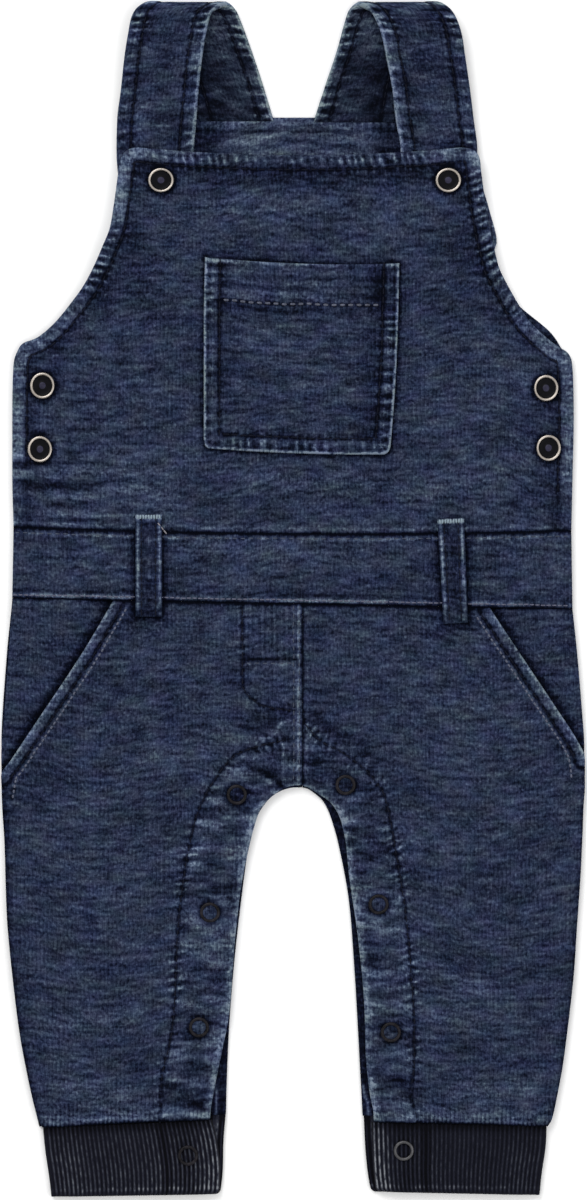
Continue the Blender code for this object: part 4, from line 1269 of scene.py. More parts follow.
def add_pocket():
    sides, top = open_edge(BIB_POCKET), across_row(BIB_POCKET[0])
    hem_x = np.linspace(-29.0, 36.0, 14)
    hem_line = np.stack([hem_x, height_of(BIB_POCKET[0], hem_x) - 16.6], axis=1)
    hem_line[:, 1] += 0.35 * noise(hem_x / 6.0, 0.0, 14)
    runs = [
        HEMMED._replace(lines=[sides], offset=6.4, spacing=4.6, halo=0.08, slant=0.1, crest=0.20),
        SEAMED._replace(lines=[top], seam=-0.14, crest=0.05),
        STITCHED._replace(lines=[hem_line], crest=0.10, thread="pale", groove=0.3, pucker=0.3,
                          reach=3.0, channel=1),
    ]

    def underside(x, y, share):
        return front_underside(x, y) + CLOTH + SEAM

    def extra(x, y, share):
        below_top = height_of(BIB_POCKET[0], x) - y
        hem = smooth((16.0 - below_top) / 2.0)
        wave = noise(x / 34.0, (y + 0.02 * x) / 1.7, 8) + 0.5 * noise(x / 11.0, y / 1.2, 9)
        height = ripples(x, y, 0.1) + 0.14 * wave * hem + folds_at(x, y, CREASES)
        wrinkle = noise(x / 12.0 + y / 60.0, (y + 0.13 * x) / 1.5, 33)
        mouth = 0.35 + 0.7 * bell(x + 34.0, 5.0) + 0.5 * noise(x / 2.2, 3.0, 36)
        low = smooth((18.0 - below_top) / 2.0)
        beside = distance_to(x, y, [sides])
        beads = 0.70 + 0.55 * noise((x + y) / 1.5, (x - y) / 1.5, 34)
        # the hem's waves and the wrinkles carry painted light and shade
        tone = (
            0.13 * wave * hem + 0.05 * wrinkle
            + 0.42 * np.maximum(mouth, 0.0) * bell(below_top - 0.9, 0.8)
            - 0.06 * bell(x - 33.0, 9.0) - 0.10 * bell(x + 28.3, 2.0) * low
            - 0.10 * bell(x - 34.6, 2.0) * low
            + 0.72 * beads * bell(beside - 0.3, 0.55) - 0.16 * bell(beside - 1.7, 0.7)
            - 0.10 * bell(below_top - 19.0, 1.6) + 0.03 * smooth((6.0 - beside) / 1.5)
        )
        return height, tone, zeros(x)

    made, sewing = sew_piece("pocket_cloth", BIB_POCKET, underside, runs, extra=extra,
                             shift=(140.0, 37.0))
    declare(made, sewing, "bib_pocket")


def add_waistband():
    rows = [shifted(WAIST_TOP, -JOIN), shifted(WAIST_BOTTOM, JOIN)]
    top, bottom = across_row(rows[0]), across_row(rows[1])
    sewn = STITCHED._replace(pucker=0.15, groove=0.15, channel=None)
    runs = [
        SEAMED._replace(lines=[top]),
        SEAMED._replace(lines=[bottom], crest=0.12),
        sewn._replace(lines=[bottom + np.array([0.0, 1.5])], crest=0.0, thread="chain"),
        sewn._replace(lines=[top - np.array([0.0, 2.2])], crest=0.06, thread="faded"),
    ]
    more = front_extra([], SNAP_RADIUS)

    def extra(x, y, share):
        height, tone, gathers = more(x, y, share)
        above, below = y - height_of(rows[1], x), height_of(rows[0], x) - y
        chain = 0.62 + 0.75 * noise(x / 26.0, 2.0, 51) + 0.35 * noise(x / 3.0, 1.0, 22)
        dashes = 0.55 + 0.5 * noise(x / 21.0, 6.0, 52) + 0.8 * noise(x / 2.0, 4.0, 23)
        tone = (
            tone + 0.38 * bell(above - 1.4, 0.7) * np.maximum(chain, 0.05)
            - 0.12 * bell(above - 3.4, 0.9)
            - 0.08 * bell(below, 2.0) - 0.22 * bell(below, 0.9) - 0.16 * bell(above, 0.8)
            + 0.25 * bell(below - 2.3, 0.6) * np.maximum(dashes, 0.0)
            - shade_of_loop(x, y, "left") - shade_of_loop(x, y, "right")
        )
        return height, tone, gathers

    made, sewing = sew_piece("waistband_cloth", rows, on_front, runs, extra=extra,
                             shift=(61.0, 143.0), seams=[(top, SEAM_ROUND), (bottom, SEAM_ROUND)])
    declare(made, sewing, "front_waistband")


def shade_of_loop(x, y, side):
    """The painted shadow round a belt loop: how much darker the cloth is there."""
    upper, lower = BELT_LOOPS[side]
    share = np.clip((upper.left_y - y) / (upper.left_y - lower.left_y), 0.0, 1.0)
    left, right = mix(upper.left_x, lower.left_x, share), mix(upper.right_x, lower.right_x, share)
    beyond_ends = np.maximum(y - upper.left_y, lower.left_y - y)
    outside = np.maximum(np.maximum(left - x, x - right), beyond_ends)
    return 0.32 * np.exp(-np.maximum(outside, 0.0) / 1.5)


TACK_STEPS = 9
LOOSE_END = [(-54.7, 30.6), (-53.5, 29.1), (-52.3, 27.6)]


def add_loop(side, ends):
    upper, lower = ends
    edges = [np.array(left_edge(ends)), np.array(right_edge(ends))]
    tack = np.array([(upper.left_x + 0.5, upper.left_y - 1.2),
                     (upper.right_x - 0.5, upper.right_y - 1.2)])
    middle = (lower.left_x + lower.right_x + upper.left_x + upper.right_x) / 4.0

    def underside(x, y, share):
        v = np.clip((upper.left_y - y) / (upper.left_y - lower.left_y), 0.0, 1.0)
        return front_underside(x, y) + CLOTH + SEAM + LOOP_ARCH * np.sin(math.pi * v)

    def extra(x, y, share):
        held = bell(distance_to(x, y, [tack]), 1.0)
        low_end, top_end = bell(y - lower.left_y, 6.0), bell(y - upper.left_y, 4.0)
        rubbed = bell(distance_to(x, y, edges) - 1.1, 0.6)
        worn = 0.8 + 0.3 * noise(x, y / 3.0, 12)
        height = 0.2 * bell(x - middle, 1.6) + 0.12 * rubbed - 0.2 * held
        rubbed = rubbed * (1.0 - 0.7 * low_end) * (1.0 - 0.6 * top_end)
        tone = 0.50 * rubbed * worn + 0.85 * held - 0.07 - 0.12 * top_end
        tone = tone + 0.20 * bell(x - middle, 1.0) * noise(x, y / 2.5, 4)
        return height, tone, zeros(x)

    def sew_on(name, places, colour, lifted):
        """Stitches on the loop, at the height that lifted gives from its top's."""
        def on_cloth(x, y):
            up = np.zeros(np.shape(x) + (3,))
            up[..., 2] = 1.0
            return np.stack([x, y, lifted(x, underside(x, y, None) + LOOP)], axis=-1), up

        return add_stitches(name, places, on_cloth, lambda x, y: np.ones(len(x), bool), colour)

    runs = [HEMMED._replace(lines=edges, offset=2.6, rise=0.1, groove=0.15, pucker=0.1,
                            spacing=3.4, lip=0.0, crest=0.08, halo=0.04, channel=None, reach=1.5)]
    made, sewing = sew_piece(f"loop_{side}_cloth", ends, underside, runs, thickness=LOOP,
                             spacing=0.8, extra=extra, shift=(15.0, 210.0))
    # a bar tack: close stitches side by side across the loop's upper end
    steps = np.arange(TACK_STEPS)
    points = mix(tack[0], tack[1], ((steps + 0.5) / TACK_STEPS)[:, None])
    places = np.column_stack([points, np.where(steps % 2, 0.12, -0.12), np.ones(TACK_STEPS)])
    sewing.append(sew_on(f"loop_{side}_tack", places, "tack", lambda x, z: z - 0.1))
    if side == "left":
        points = np.array(LOOSE_END)
        way = (points[-1] - points[0]) / np.hypot(*(points[-1] - points[0]))
        places = np.column_stack([points, np.tile(way, (len(points), 1))])
        sewing.append(sew_on(
            f"loop_{side}_loose_end", places, "end",
            lambda x, z: z + 0.1 - np.clip(0.6 * (x - LOOSE_END[0][0]), 0.0, 1.3)))
    declare(made, sewing, f"belt_loop_{side}")


def add_leg(side, rows):
    left = side == "left"
    turn = 1.0 if left else -1.0
    outer, inner = (left_edge, right_edge) if left else (right_edge, left_edge)
    slant = curve(outer(rows))[: CURVE_STEPS * SLANT_ROWS + 1]
    side_seam = curve(outer(rows))[CURVE_STEPS * SLANT_ROWS :]
    centre = np.array(inner(rows)[: SLANT_ROWS + 2])
    inseam = curve(inner(rows))[CURVE_STEPS * (SLANT_ROWS + 1) :]
    stitch = curve(INSEAM_STITCH[side])
    waistline, bottom = across_row(rows[0]), across_row(rows[-1])
    runs = [
        HEMMED._replace(lines=[slant], offset=4.4, spacing=3.4, slant=0.9, halo=0.05, rise=0.45,
                        reach=1.2, lip=0.44, crest=0.07),
        STITCHED._replace(lines=[line_beside(run_on(slant, 9.0), turn * 6.4)], channel=None,
                          thread="slant", pucker=0.0, groove=0.1, crest=0.0, halo=0.05),
        SEAMED._replace(lines=[waistline]),
        SEAMED._replace(lines=[bottom], crest=0.04),
        SEAMED._replace(lines=[side_seam], seam=0.06, crest=0.04),
        SEAMED._replace(lines=[inseam], seam=0.0, lip=0.30, crest=0.12, pucker=0.4,
                        spacing=5.0, reach=6.0, slant=-0.4),
        STITCHED._replace(lines=[stitch], channel=2, crest=0.26, spacing=4.0),
        SEAMED._replace(lines=[centre], seam=0.15 if left else 0.30, crest=0.14),
    ]
    if left:
        faded = STITCHED._replace(channel=None, thread="faded")
        runs += [
            STITCHED._replace(lines=[curve(FLY_STITCH)], channel=1, crest=0.12),
            faded._replace(lines=[np.array(FLY_CROSS)], crest=0.08, pucker=0.15, halo=0.05),
            faded._replace(lines=[line_beside(centre, -3.6)], groove=0.15, pucker=0.1, crest=0.06),
            faded._replace(lines=[line_beside(centre, -1.3)], groove=0.12, pucker=0.1, crest=0.05),
        ]
    rings = [place for name, place in INSEAM_RINGS.items() if side in name]
    more = front_extra(rings, RING_RADIUS, 0.07)

    def extra(x, y, share):
        height, tone, _ = more(x, y, share)
        away, _, beside = nearest(x, y, [stitch])
        facing = smooth(away / 1.4) * (beside * turn > 0.0) * smooth((-56.0 - y) / 6.0)
        above_cuff, from_inseam = distance_to(x, y, [bottom]), distance_to(x, y, [inseam])
        from_slant, from_side = distance_to(x, y, [slant]), distance_to(x, y, [side_seam])
        below_waist, from_centre = distance_to(x, y, [waistline]), distance_to(x, y, [centre])
        marks = noise(x / 8.0, y / 2.4, 6) + 0.6 * noise(x / 4.0, y / 1.3, 7)
        fringe = 0.75 + 0.8 * noise(x / 1.8, y / 1.8, 41)
        height = (height + 0.35 * facing + 0.15 * facing * marks
                  + 0.5 * bell(above_cuff - 3.5, 3.0))
        # painted shadow along the cuff seam under the leg's bulge, painted shade along the rolled
        # side edge
        tone = (
            tone + 0.15 * facing * marks + 0.02 * facing
            + 0.24 * fringe * bell(from_inseam - 1.3, 1.5) * smooth((-79.0 - y) / 5.0)
            + 0.14 * bell(above_cuff - 2.6, 2.4) - 0.20 * bell(above_cuff, 0.7)
            + 0.09 * smooth((4.2 - from_slant) / 1.0)
            + 0.19 * bell(from_slant - 6.3, 0.8) * (0.8 + 0.5 * noise(x / 1.6, y / 1.6, 44))
            - 0.20 * bell(below_waist, 1.1) - (0.16 if left else 0.08) * bell(from_side, 1.8)
        )
        low = smooth((-54.0 - y) / 8.0)
        beads = 0.75 + 0.6 * noise(y / 1.3, x / 3.0, 42)
        if left:
            ticks = np.cos(2.0 * math.pi * x / 2.5) * smooth((x + 19.0) / 2.0)
            ticks = ticks * smooth((y + 29.0) / 4.0) * (0.6 + 0.7 * noise(x, y / 1.6, 43))
            rungs = np.cos(2.0 * math.pi * y / 2.3) * bell(from_centre - 4.6, 2.4)
            ticks = ticks + rungs * smooth((-26.0 - y) / 2.0) * smooth((y + 46.0) / 6.0)
            tone = tone + 0.34 * beads * bell(from_centre - 1.6, 0.8) + 0.09 * ticks
            tone = tone + 0.24 * beads * bell(from_centre - 7.6, 0.7) * low
        else:
            tone = tone + 0.20 * beads * bell(from_centre - 1.2, 0.6) * (0.25 + 0.75 * low)
        tone = tone - shade_of_loop(x, y, side)
        return height, tone, np.exp(-above_cuff / 4.5) * (1.0 - 0.8 * facing)

    made, sewing = sew_piece(
        f"leg_{side}_cloth", rows, leg_underside, runs, extra=extra,
        shift=(-33.0, -70.0) if left else (47.0, -95.0),
        seams=[(waistline, SEAM_ROUND), (centre, SEAM_ROUND), (bottom, CUFF_SEAM_ROUND)])
    declare(made, sewing, f"front_leg_{side}")


def add_facing(side, rows):
    def underside(x, y, share):
        return facing_underside(x, y, side)

    def extra(x, y, share):
        gape = distance_to(x, y, [SLANTS[side]])
        # painted shadow in the gape under the leg's slanted edge
        tone = -0.24 * bell(np.maximum(gape - 0.8, 0.0), 1.9) - 0.05 * np.exp(-gape / 6.0)
        return ripples(x, y, 0.1), tone, zeros(x)

    seam = across_row(rows[0])
    made, sewing = sew_piece(f"facing_{side}_cloth", rows, underside,
                             [SEAMED._replace(lines=[seam])], extra=extra, shift=(90.0, -40.0),
                             threads=False, seams=[(seam, SEAM_ROUND)])
    declare(made, sewing, f"side_pocket_facing_{side}")


BACK_CREASES = [
    Fold(-60, -40, -20, -58, 5, -0.4), Fold(62, -42, 24, -60, 5, -0.35),
    Fold(-96, -110, -60, -104, 5, -0.3), Fold(92, -118, 58, -108, 5, -0.35),
    Fold(-90, -165, -50, -158, 4, -0.3), Fold(54, -170, 88, -163, 4, -0.3),
    Fold(-70, 60, -20, 52, 5, -0.3), Fold(20, 90, 70, 84, 5, -0.25),
    Fold(-30, 140, 20, 134, 5, -0.25),
]
# Where the pale hem of each back leg shows beside its front leg
BACK_HEM_LINE = {
    "left": [(-32.4, -199), (-31.3, -203), (-31.4, -207.5), (-31.7, -213)],
    "right": [(28.7, -199), (29.4, -203.4), (30.6, -206.6), (31.1, -213)],
}


def back_extra(x, y, share):
    crease = folds_at(x, y, BACK_CREASES)
    # the creases are darkened with painted shade
    return crease + ripples(x, y, 0.1), 0.10 * crease, zeros(x)


def back_inside_tone(x, y):
    """The back panel's inside is streaked, with painted shade beside the straps and past the
    front's edge.
    """
    tone = 0.14 + 0.13 * noise(x / 18.0, (y + 0.02 * np.abs(x - 2.0) ** 1.5) / 2.1, 31)
    for strap_x in (-38.5, 41.0):
        tone = tone - 0.26 * bell(np.maximum(np.abs(x - strap_x) - 2.0, 0.0), 7.0)
    ticks = np.cos(2.0 * math.pi * (x + noise(x / 9.0, 0.0, 37)) / 3.1)
    tone = tone + 0.10 * ticks * bell(y - 194.0, 3.5) * smooth((np.abs(x - 1.0) - 20.0) / 6.0)
    return tone - 0.24 * smooth((np.abs(x) - 84.0) / 6.0)


def back_leg_inside_tone(side):
    """The back leg's inside shows as a sliver beside the front one, darkened with painted shade,
    its hem pale low down.
    """
    hem_top = curve(BACK_HEM_LINE[side])

    def tone(x, y):
        return 0.42 * bell(distance_to(x, y, [hem_top]), 0.65) - 0.20

    return tone


def add_back():
    options = dict(spacing=BACK_SPACING, extra=back_extra, materials=(DENIM_INSIDE, DENIM),
                   back=True)
    faded = STITCHED._replace(channel=None, thread="faded")
    rows = [shifted(WAIST_TOP, JOIN)] + BACK
    seam = across_row(rows[0])
    runs = [HEMMED._replace(lines=[open_edge(rows)]), SEAMED._replace(lines=[seam])]
    made, sewing = sew_piece("back_cloth", rows, on_surface, runs, shift=(200.0, 60.0),
                             inside_tone=back_inside_tone, seams=[(seam, SEAM_ROUND)], **options)
    declare(made, sewing, "back_panel")

    band = [shifted(WAIST_TOP, -JOIN), shifted(WAIST_BOTTOM, JOIN)]
    top, bottom = across_row(band[0]), across_row(band[1])
    runs = [
        SEAMED._replace(lines=[top]), SEAMED._replace(lines=[bottom]),
        faded._replace(lines=[bottom + np.array([0.0, 1.6])]),
        faded._replace(lines=[top - np.array([0.0, 2.0])]),
    ]
    made, sewing = sew_piece("back_waist_cloth", band, on_surface, runs, shift=(10.0, 300.0),
                             seams=[(top, SEAM_ROUND), (bottom, SEAM_ROUND)], **options)
    declare(made, sewing, "back_waistband")

    legs = {"left": from_waist(WAIST_BOTTOM.left_x, LEFT_OF_CENTRE, BACK_LEG_LEFT),
            "right": from_waist(RIGHT_OF_CENTRE, WAIST_BOTTOM.right_x, BACK_LEG_RIGHT)}
    for side, rows in legs.items():
        left = side == "left"
        inner = right_edge if left else left_edge
        centre, inseam = np.array(inner(rows)[:5]), curve(inner(rows))[4 * CURVE_STEPS :]
        seams = [across_row(rows[0]), centre, across_row(rows[-1])]
        runs = [
            SEAMED._replace(lines=seams),
            faded._replace(lines=[line_beside(centre, -1.6 if left else 1.6)]),
            HEMMED._replace(lines=[inseam], offset=8.0),
        ]
        made, sewing = sew_piece(f"back_leg_{side}_cloth", rows, on_surface, runs,
                                 seams=[(line, SEAM_ROUND) for line in seams],
                                 shift=(330.0 if left else 480.0, 20.0),
                                 inside_tone=back_leg_inside_tone(side), **options)
        declare(made, sewing, f"back_leg_{side}")


# ---------------------------------------------------------------- straps


def strap_surface(rows):
    """The middle of a strap's cloth at (p, q), in millimetres across and along, and its normal."""
    fine = between(rows, np.linspace(0.0, 1.0, STRAP_SAMPLES))
    middle = np.stack([(fine[:, 0] + fine[:, 2]) / 2, (fine[:, 1] + fine[:, 3]) / 2, fine[:, 4]],
                      axis=1)
    passed = np.concatenate([[0.0], np.cumsum(np.linalg.norm(np.diff(middle, axis=0), axis=1))])
    width = float(np.mean(np.abs(fine[:, 2] - fine[:, 0])))

    def place(p, q):
        along = np.interp(q, passed, np.linspace(0.0, 1.0, STRAP_SAMPLES))
        row = between(rows, along)
        share = (p / width)[..., None]
        outer = np.stack([row[..., 0], row[..., 1], row[..., 4]], axis=-1)
        inner = np.stack([row[..., 2], row[..., 3], row[..., 4]], axis=-1)
        return mix(outer, inner, share)

    def normal(p, q):
        across = place(np.full_like(p, width), q) - place(np.zeros_like(p), q)
        along = place(p, np.minimum(q + 0.6, passed[-1])) - place(p, np.maximum(q - 0.6, 0.0))
        out = np.cross(across, along)
        return out / np.linalg.norm(out, axis=-1)[..., None]

    return place, normal, width, float(passed[-1])


def add_strap(side, rows):
    place, normal, width, length = strap_surface(rows)
    p, q = np.meshgrid(stations(width, STRAP_SPACING), stations(length, STRAP_SPACING))
    edges = [np.array([(0.0, -20.0), (0.0, length + 20.0)]),
             np.array([(width, -20.0), (width, length + 20.0)])]
    runs = [HEMMED._replace(lines=edges, spacing=4.9, halo=0.07, slant=0.1)]
    height, tone, stitches, turns, crests = marks_of(runs, p, q)
    tone = tone + 0.42 * bell(width - p - 0.5, 0.8) + 0.09 * noise(p / 9.0, q / 4.0, 38)
    streaks = noise(p / 14.0 + q / 40.0, (q - 0.7 * p) / 2.4, 35)
    # painted shade on the inside where it lies behind the front run, its puckers' crests dimmed
    # there
    behind = 1.0 - smooth((p - 8.0) / 10.0)
    inner_tone = tone + 0.08 * streaks + 0.09 - 0.08 * behind
    height = height + ripples(p * 1.3, q, 0.1)
    rim = np.minimum(np.minimum(p, width - p), np.minimum(q, (length - q) * 3.0 + 0.5))
    half = STRAP / 2.0 * rim_round(rim, STRAP / 2.0)
    middle, out = place(p, q), normal(p, q)
    up = 1.0 if out[0, 0, 2] > 0.0 else -1.0
    out = out * up
    outer = middle + out * (half + height * half / STRAP * 2.0)[..., None]
    inner = middle - out * (half + height * half / STRAP)[..., None]
    for face in (outer, inner):
        face[..., 2] = np.maximum(face[..., 2], 0.0)
    shell = add_shell(
        f"strap_{side}_cloth", outer, inner, (DENIM, SHADED_STRAP_DENIM),
        cloth=np.stack([p + (20.0 if up > 0 else 260.0), q + 400.0, 0.0 * p], axis=-1),
        tone=(tone, inner_tone), stitches=stitches, turns=turns,
        crests=(crests, crests * (1.0 - 0.85 * behind)[..., None]),
    )
    sewing = []
    places = stitch_places(runs[0])
    for face, label in ((1.0, "outer"), (-1.0, "inner")):
        def on_cloth(sx, sy, face=face):
            raised = marks_of(runs, sx, sy).height
            away = normal(sx, sy) * up * face
            return place(sx, sy) + away * (STRAP / 2.0 + raised)[..., None], away

        def inside(sx, sy):
            return (sx > 0.6) & (sx < width - 0.6) & (sy > 2.0) & (sy < length - 2.0)

        sewing.append(add_stitches(f"strap_{side}_{label}_stitches", places, on_cloth, inside,
                                   "navy"))
    size = (width * MM, length * MM)
    declare(Made(shell, width * length * MM * MM, size), sewing, f"strap_{side}")


# ---------------------------------------------------------------- cuffs

RIB_WEAR = {"left": 0.95, "right": 0.66}
RIB_RUBBED = {"left": 0.35, "right": 0.95}  # more, towards the inner end
POINTS_A_RIB = 8
FOLD_POINTS = 14
CUFF_ROW_SPACING = 1.6


def add_cuff(side, rows):
    fold_radius = (2.0 * RIB_CLOTH + SEAM) / 2.0
    length = float(np.mean([abs(row.outer_x - row.front_x) for row in rows]))
    tall = abs(rows[0].outer_y - rows[-1].outer_y)
    layer = np.linspace(0.0, 1.0, RIBS * POINTS_A_RIB + 1)
    down = stations(tall, CUFF_ROW_SPACING) / tall
    row = between(rows, down)[:, None, :]
    inward = math.copysign(1.0, -rows[0].outer_x)
    fold_x = row[..., 0] + inward * fold_radius

    def ribs(share):
        wide = 1.0 + 0.12 * noise(share * RIBS / 5.0, 0.0, 11)
        return (0.5 - 0.5 * np.cos(2.0 * math.pi * RIBS * share)) ** 0.8 * wide

    # the band is folded double, so its lower edge is a round fold
    v = down[:, None]
    end = rim_round(np.minimum(1.0 - v, v + 0.02) * tall, 1.5)
    # the back layer, from its inner end to the fold
    share = layer[None, :]
    tuck = 1.8 * (1.0 - np.sqrt(1.0 - np.clip((v * tall - tall + 2.4) / 2.4, 0.0, 1.0) ** 2))
    back_x = mix(row[..., 4] - inward * tuck, fold_x, share)
    back_y = mix(row[..., 5], row[..., 1], share)
    back_rib = RIB_HEIGHT * 0.6 * (1.0 - ribs(share))
    back_low = np.broadcast_to(back_rib + (1 - end) * 0.5, back_x.shape)
    back_high = np.broadcast_to(RIB_CLOTH - (1 - end) * 0.3, back_x.shape)
    # the fold
    turn = np.linspace(0.0, math.pi, FOLD_POINTS + 2)[None, 1:-1]
    outer_r, inner_r = fold_radius, fold_radius - RIB_CLOTH
    fold_out = (fold_x - inward * outer_r * np.sin(turn), fold_radius - outer_r * np.cos(turn))
    fold_in = (fold_x - inward * inner_r * np.sin(turn), fold_radius - inner_r * np.cos(turn))
    fold_y = np.broadcast_to(row[..., 1], fold_out[0].shape)
    # the front layer, from the fold to its inner end
    front_x = mix(fold_x, row[..., 2] - inward * tuck, share)
    front_y = mix(row[..., 1], row[..., 3], share)
    loft = CUFF_LOFT * smooth(share * 8.0) * smooth((1.0 - share) * 8.0)
    edge_in = rim_round((1.0 - share) * length, 1.0)
    low = RIB_CLOTH + SEAM + loft
    thick = RIB_CLOTH + RIB_HEIGHT * ribs(share)
    front_low = np.broadcast_to(low + 0.2 * (1 - end), front_x.shape)
    front_high = low + thick * np.minimum(end, edge_in)
    out_x = np.concatenate([back_x, fold_out[0], front_x], axis=1)
    out_y = np.concatenate([back_y, fold_y, front_y], axis=1)
    out_z = np.concatenate([back_low, np.broadcast_to(fold_out[1], fold_y.shape),
                            front_high], axis=1)
    in_x = np.concatenate([back_x, fold_in[0], front_x], axis=1)
    in_z = np.concatenate([back_high, np.broadcast_to(fold_in[1], fold_y.shape),
                           front_low], axis=1)
    run_length = np.concatenate([
        layer * length, length + np.linspace(0.0, math.pi * fold_radius, FOLD_POINTS + 2)[1:-1],
        length + math.pi * fold_radius + layer * length,
    ])
    p = np.broadcast_to(run_length[None, :], out_x.shape)
    crest = np.concatenate([ribs(layer), np.full(FOLD_POINTS, 0.4), ribs(layer)])
    inner_end = np.concatenate([1.0 - layer, np.zeros(FOLD_POINTS), layer])
    in_front = np.repeat([0.0, 0.5, 1.0], [len(layer), FOLD_POINTS, len(layer)])
    from_inner = (1.0 - inner_end) * length
    placket = bell(from_inner - 22.0, 1.5)
    rubbed_end = smooth((9.0 - from_inner) / 6.0) * in_front
    lit = crest**2.0 * (RIB_WEAR[side] + RIB_RUBBED[side] * rubbed_end)
    tone = 0.34 * lit - 0.05 - 0.22 * placket - 0.06 * in_front * bell(from_inner - 14.0, 5.0)
    # painted shade on the back layer's inner end, under the front layer
    tone = tone - 0.16 * (1.0 - in_front) * bell(from_inner, 5.0)
    tone = np.broadcast_to(tone[None, :], out_x.shape).copy()
    above_edge = (1.0 - v) * tall
    tone *= (0.75 + 0.45 * v) * (1.0 - 0.8 * bell(above_edge, 1.9))
    line = (1.0 - in_front[None, :]) * bell(from_inner[None, :] - 3.4, 0.8)
    tone += 0.40 * line * smooth((12.0 - v * tall) / 7.0)
    dotted = crest[None, :] * (0.55 + 0.7 * noise(p / 6.0, 1.0, 39) + 0.6 * rubbed_end[None, :])
    tone += 0.32 * bell(above_edge - 3.0, 0.7) * np.maximum(dotted, 0.0)
    # painted shadow along the cuff's top, under the leg's bulge
    tone -= 0.20 * bell(v * tall, 2.6)
    cloth = np.stack([p, out_y, np.zeros(p.shape)], axis=-1)
    shell = add_shell(
        f"cuff_{side}_rib", np.stack([out_x, out_y, out_z], axis=-1),
        np.stack([in_x, out_y, in_z], axis=-1), (RIB, RIB), cloth=cloth, tone=tone,
    )
    size = ((2.0 * length + math.pi * fold_radius) * MM, tall * MM)
    declare(Made(shell, size[0] * size[1], size), [], f"cuff_{side}")


# ---------------------------------------------------------------- snaps and rings

TURN_STEPS = 40
ROUND_STEPS = 12  # places round a snap at which the cloth's height is taken
SQUEEZE = {"bib": (1.0, 0.95), "side": (0.95, 1.02)}  # pressed slightly oval in the washed cloth

# radius, height and material of each point of a turned profile, from the middle out
SNAP_PROFILE = [
    (0, 0.62, 2), (0.7, 0.6, 2), (1.15, 0.5, 2), (1.4, 0.34, 2), (1.6, 0.24, 1), (2.4, 0.2, 1),
    (3.4, 0.26, 1), (3.95, 0.42, 1), (4.12, 0.62, 1), (4.18, 0.8, 0), (4.28, 1.02, 0),
    (4.46, 1.18, 0), (4.72, 1.24, 0), (4.98, 1.18, 0), (5.16, 1, 0), (5.27, 0.72, 0), (5.3, 0.4, 0),
    (5.3, -0.5, 0), (5, -0.5, 0), (0, -0.5, 0),
]
RING_PROFILE = [
    (2.85, -0.35), (2.85, 0.1), (2.95, 0.38), (3.2, 0.55), (3.5, 0.62), (3.8, 0.55), (4.05, 0.38),
    (4.15, 0.1), (4.15, -0.35),
]


def turned_snap(name, x, y, z, squeeze):
    """A ring snap: a silver ring round a black dish with a small socket in the middle."""
    rings = SNAP_PROFILE[1:-1]
    turn = np.linspace(0.0, 2.0 * math.pi, TURN_STEPS, endpoint=False)
    points = [(0.0, 0.0, SNAP_PROFILE[0][1])]
    for radius, height, _ in rings:
        points += [(radius * math.cos(a) * squeeze[0], radius * math.sin(a) * squeeze[1], height)
                   for a in turn]
    points.append((0.0, 0.0, SNAP_PROFILE[-1][1]))
    faces, indices = [], []
    base = 1 + (len(rings) - 1) * TURN_STEPS
    for step in range(TURN_STEPS):
        after = (step + 1) % TURN_STEPS
        faces.append((0, 1 + step, 1 + after))
        indices.append(2)
        for ring in range(len(rings) - 1):
            start, outer = 1 + ring * TURN_STEPS, 1 + (ring + 1) * TURN_STEPS
            faces.append((start + step, outer + step, outer + after, start + after))
            indices.append(rings[ring + 1][2])
        faces.append((base + step, len(points) - 1, base + after))
        indices.append(0)
    return add_mesh(name, np.array(points) + np.array([x, y, z]), faces,
                    (SILVER, ENAMEL, SOCKET), indices)


def turned_ring(name, x, y, z, metal=BRONZE):
    """A plain round ring."""
    turn = np.linspace(0.0, 2.0 * math.pi, TURN_STEPS, endpoint=False)
    points = np.array([(x + radius * math.cos(a), y + radius * math.sin(a), z + height)
                       for radius, height in RING_PROFILE for a in turn])
    ring = np.arange(len(RING_PROFILE))[:, None] * TURN_STEPS
    outer = np.roll(ring, -1, axis=0)
    step = np.arange(TURN_STEPS)[None, :]
    after = (step + 1) % TURN_STEPS
    faces = np.stack([ring + step, outer + step, outer + after, ring + after], axis=-1)
    faces = faces.reshape(-1, 4)
    if volume_of(points, faces) < 0.0:
        faces = faces[:, ::-1]
    return add_mesh(name, points, faces, [metal])


def highest_under(x, y, radius):
    """The highest point of the front's cloth within a snap's round."""
    turn = np.linspace(0.0, 2.0 * math.pi, ROUND_STEPS, endpoint=False)
    xs = np.append(x + radius * np.cos(turn), x)
    ys = np.append(y + radius * np.sin(turn), y)
    return float((front_underside(xs, ys) + CLOTH).max())


def cuff_top(x, rows):
    """The height of the ribs' crests."""
    top = rows[0]
    share = (x - top.outer_x) / (top.front_x - top.outer_x)
    loft = CUFF_LOFT * smooth(share * 8.0) * smooth((1.0 - share) * 8.0)
    return float(2.0 * RIB_CLOTH + SEAM + loft + RIB_HEIGHT)


def add_cap(turned, node, slot, *where):
    """A turned cap that stands for its node."""
    made = turned(f"{node}_cap", *where)
    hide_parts(node)


def add_snaps():
    for name, (x, y) in SNAPS.items():
        z = highest_under(x, y, SNAP_RADIUS) + SEAM
        squeeze = SQUEEZE["side" if "side" in name else "bib"]
        add_cap(turned_snap, name, "snap_metal", x, y, z, squeeze)
    for name, (x, y) in INSEAM_RINGS.items():
        z = highest_under(x, y, RING_RADIUS) + SEAM
        add_cap(turned_ring, name, "dark_metal", x, y, z)
    for (name, (x, y)), rows in zip(CUFF_RINGS.items(), CUFFS.values()):
        metal = NICKEL if "right" in name else BRONZE
        add_cap(turned_ring, name, "dark_metal", x, y, cuff_top(x, rows) + SEAM, metal)


# ---------------------------------------------------------------- studio

FRAME_HEIGHT = 492.0  # what the picture shows from top to bottom
CAMERA_HEIGHT = 2600.0
CAMERA_AT = (0.2, -0.2)
FLOOR_Z = -0.0002  # metres, just below the cloth


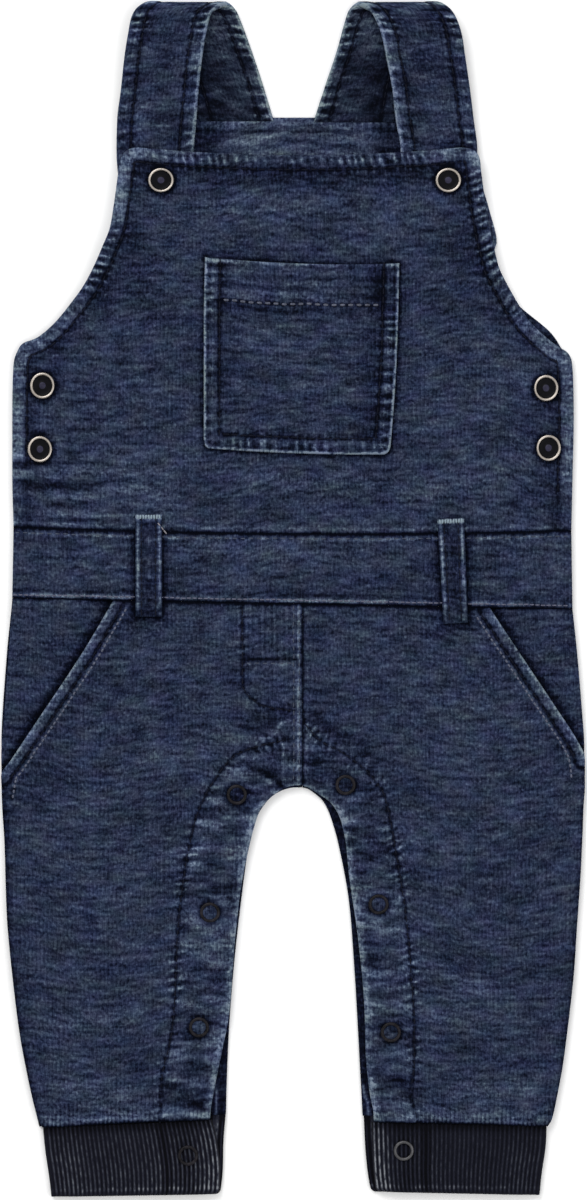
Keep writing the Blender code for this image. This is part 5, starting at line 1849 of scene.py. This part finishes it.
def add_floor():
    mesh = bpy.data.meshes.new("floor")
    half = 14.0
    corners = [(-half, -half, 0.0), (half, -half, 0.0), (half, half, 0.0), (-half, half, 0.0)]
    mesh.from_pydata(corners, [], [(0, 1, 2, 3)])
    paint = Paint("floor")
    place = paint.node("TexCoord", output="Object")
    grain = paint.noise(place, (40.0, 40.0, 40.0), detail=3.0, roughness=0.6)
    mesh.materials.append(paint.finish(
        Base_Color=(0.98, 0.98, 0.98, 1.0), Roughness=0.9 + grain * 0.1, Specular_IOR_Level=0.1,
    ))
    made = add_object("floor", mesh)
    made.location.z = FLOOR_Z


def add_light(name, place, size, power):
    data = bpy.data.lights.new(name, "AREA")
    data.shape = "RECTANGLE"
    data.size, data.size_y = size
    data.energy = power
    made = add_object(name, data)
    made.location = place
    made.rotation_euler = (-made.location).to_track_quat("-Z", "Y").to_euler()


def add_studio():
    add_floor()
    add_light("key", (-0.8, 1.5, 1.7), (1.5, 1.2), 30.5)
    add_light("fill", (1.2, -0.6, 1.8), (1.6, 1.6), 13.5)
    world = bpy.data.worlds.new("studio")
    bpy.context.scene.world = world
    world.use_nodes = True
    background = world.node_tree.nodes["Background"]
    background.inputs["Color"].default_value = (1.0, 1.0, 1.0, 1.0)
    background.inputs["Strength"].default_value = 0.70
    camera = bpy.data.cameras.new("camera")
    camera.sensor_width = 36.0
    camera.lens = camera.sensor_width * CAMERA_HEIGHT / FRAME_HEIGHT
    camera.clip_start, camera.clip_end = 0.05, 50.0
    made = add_object("camera", camera)
    made.location = (CAMERA_AT[0] * MM, CAMERA_AT[1] * MM, CAMERA_HEIGHT * MM)
    bpy.context.scene.camera = made
    bpy.context.scene.view_settings.view_transform = "Standard"


def main():
    add_studio()
    add_back()
    for side, rows in STRAPS.items():
        add_strap(side, rows)
    add_bib()
    add_pocket()
    add_facing("left", from_waist(WAIST_BOTTOM.left_x, FACING_INNER_X["left"], FACING_LEFT))
    add_facing("right", from_waist(FACING_INNER_X["right"], WAIST_BOTTOM.right_x, FACING_RIGHT))
    add_leg("left", from_waist(SLANT_TOP_X["left"], LEFT_OF_CENTRE, FRONT_LEG_LEFT))
    add_leg("right", from_waist(RIGHT_OF_CENTRE, SLANT_TOP_X["right"], FRONT_LEG_RIGHT))
    add_waistband()
    for side, ends in BELT_LOOPS.items():
        add_loop(side, ends)
    for side, rows in CUFFS.items():
        add_cuff(side, rows)
    add_snaps()


main()
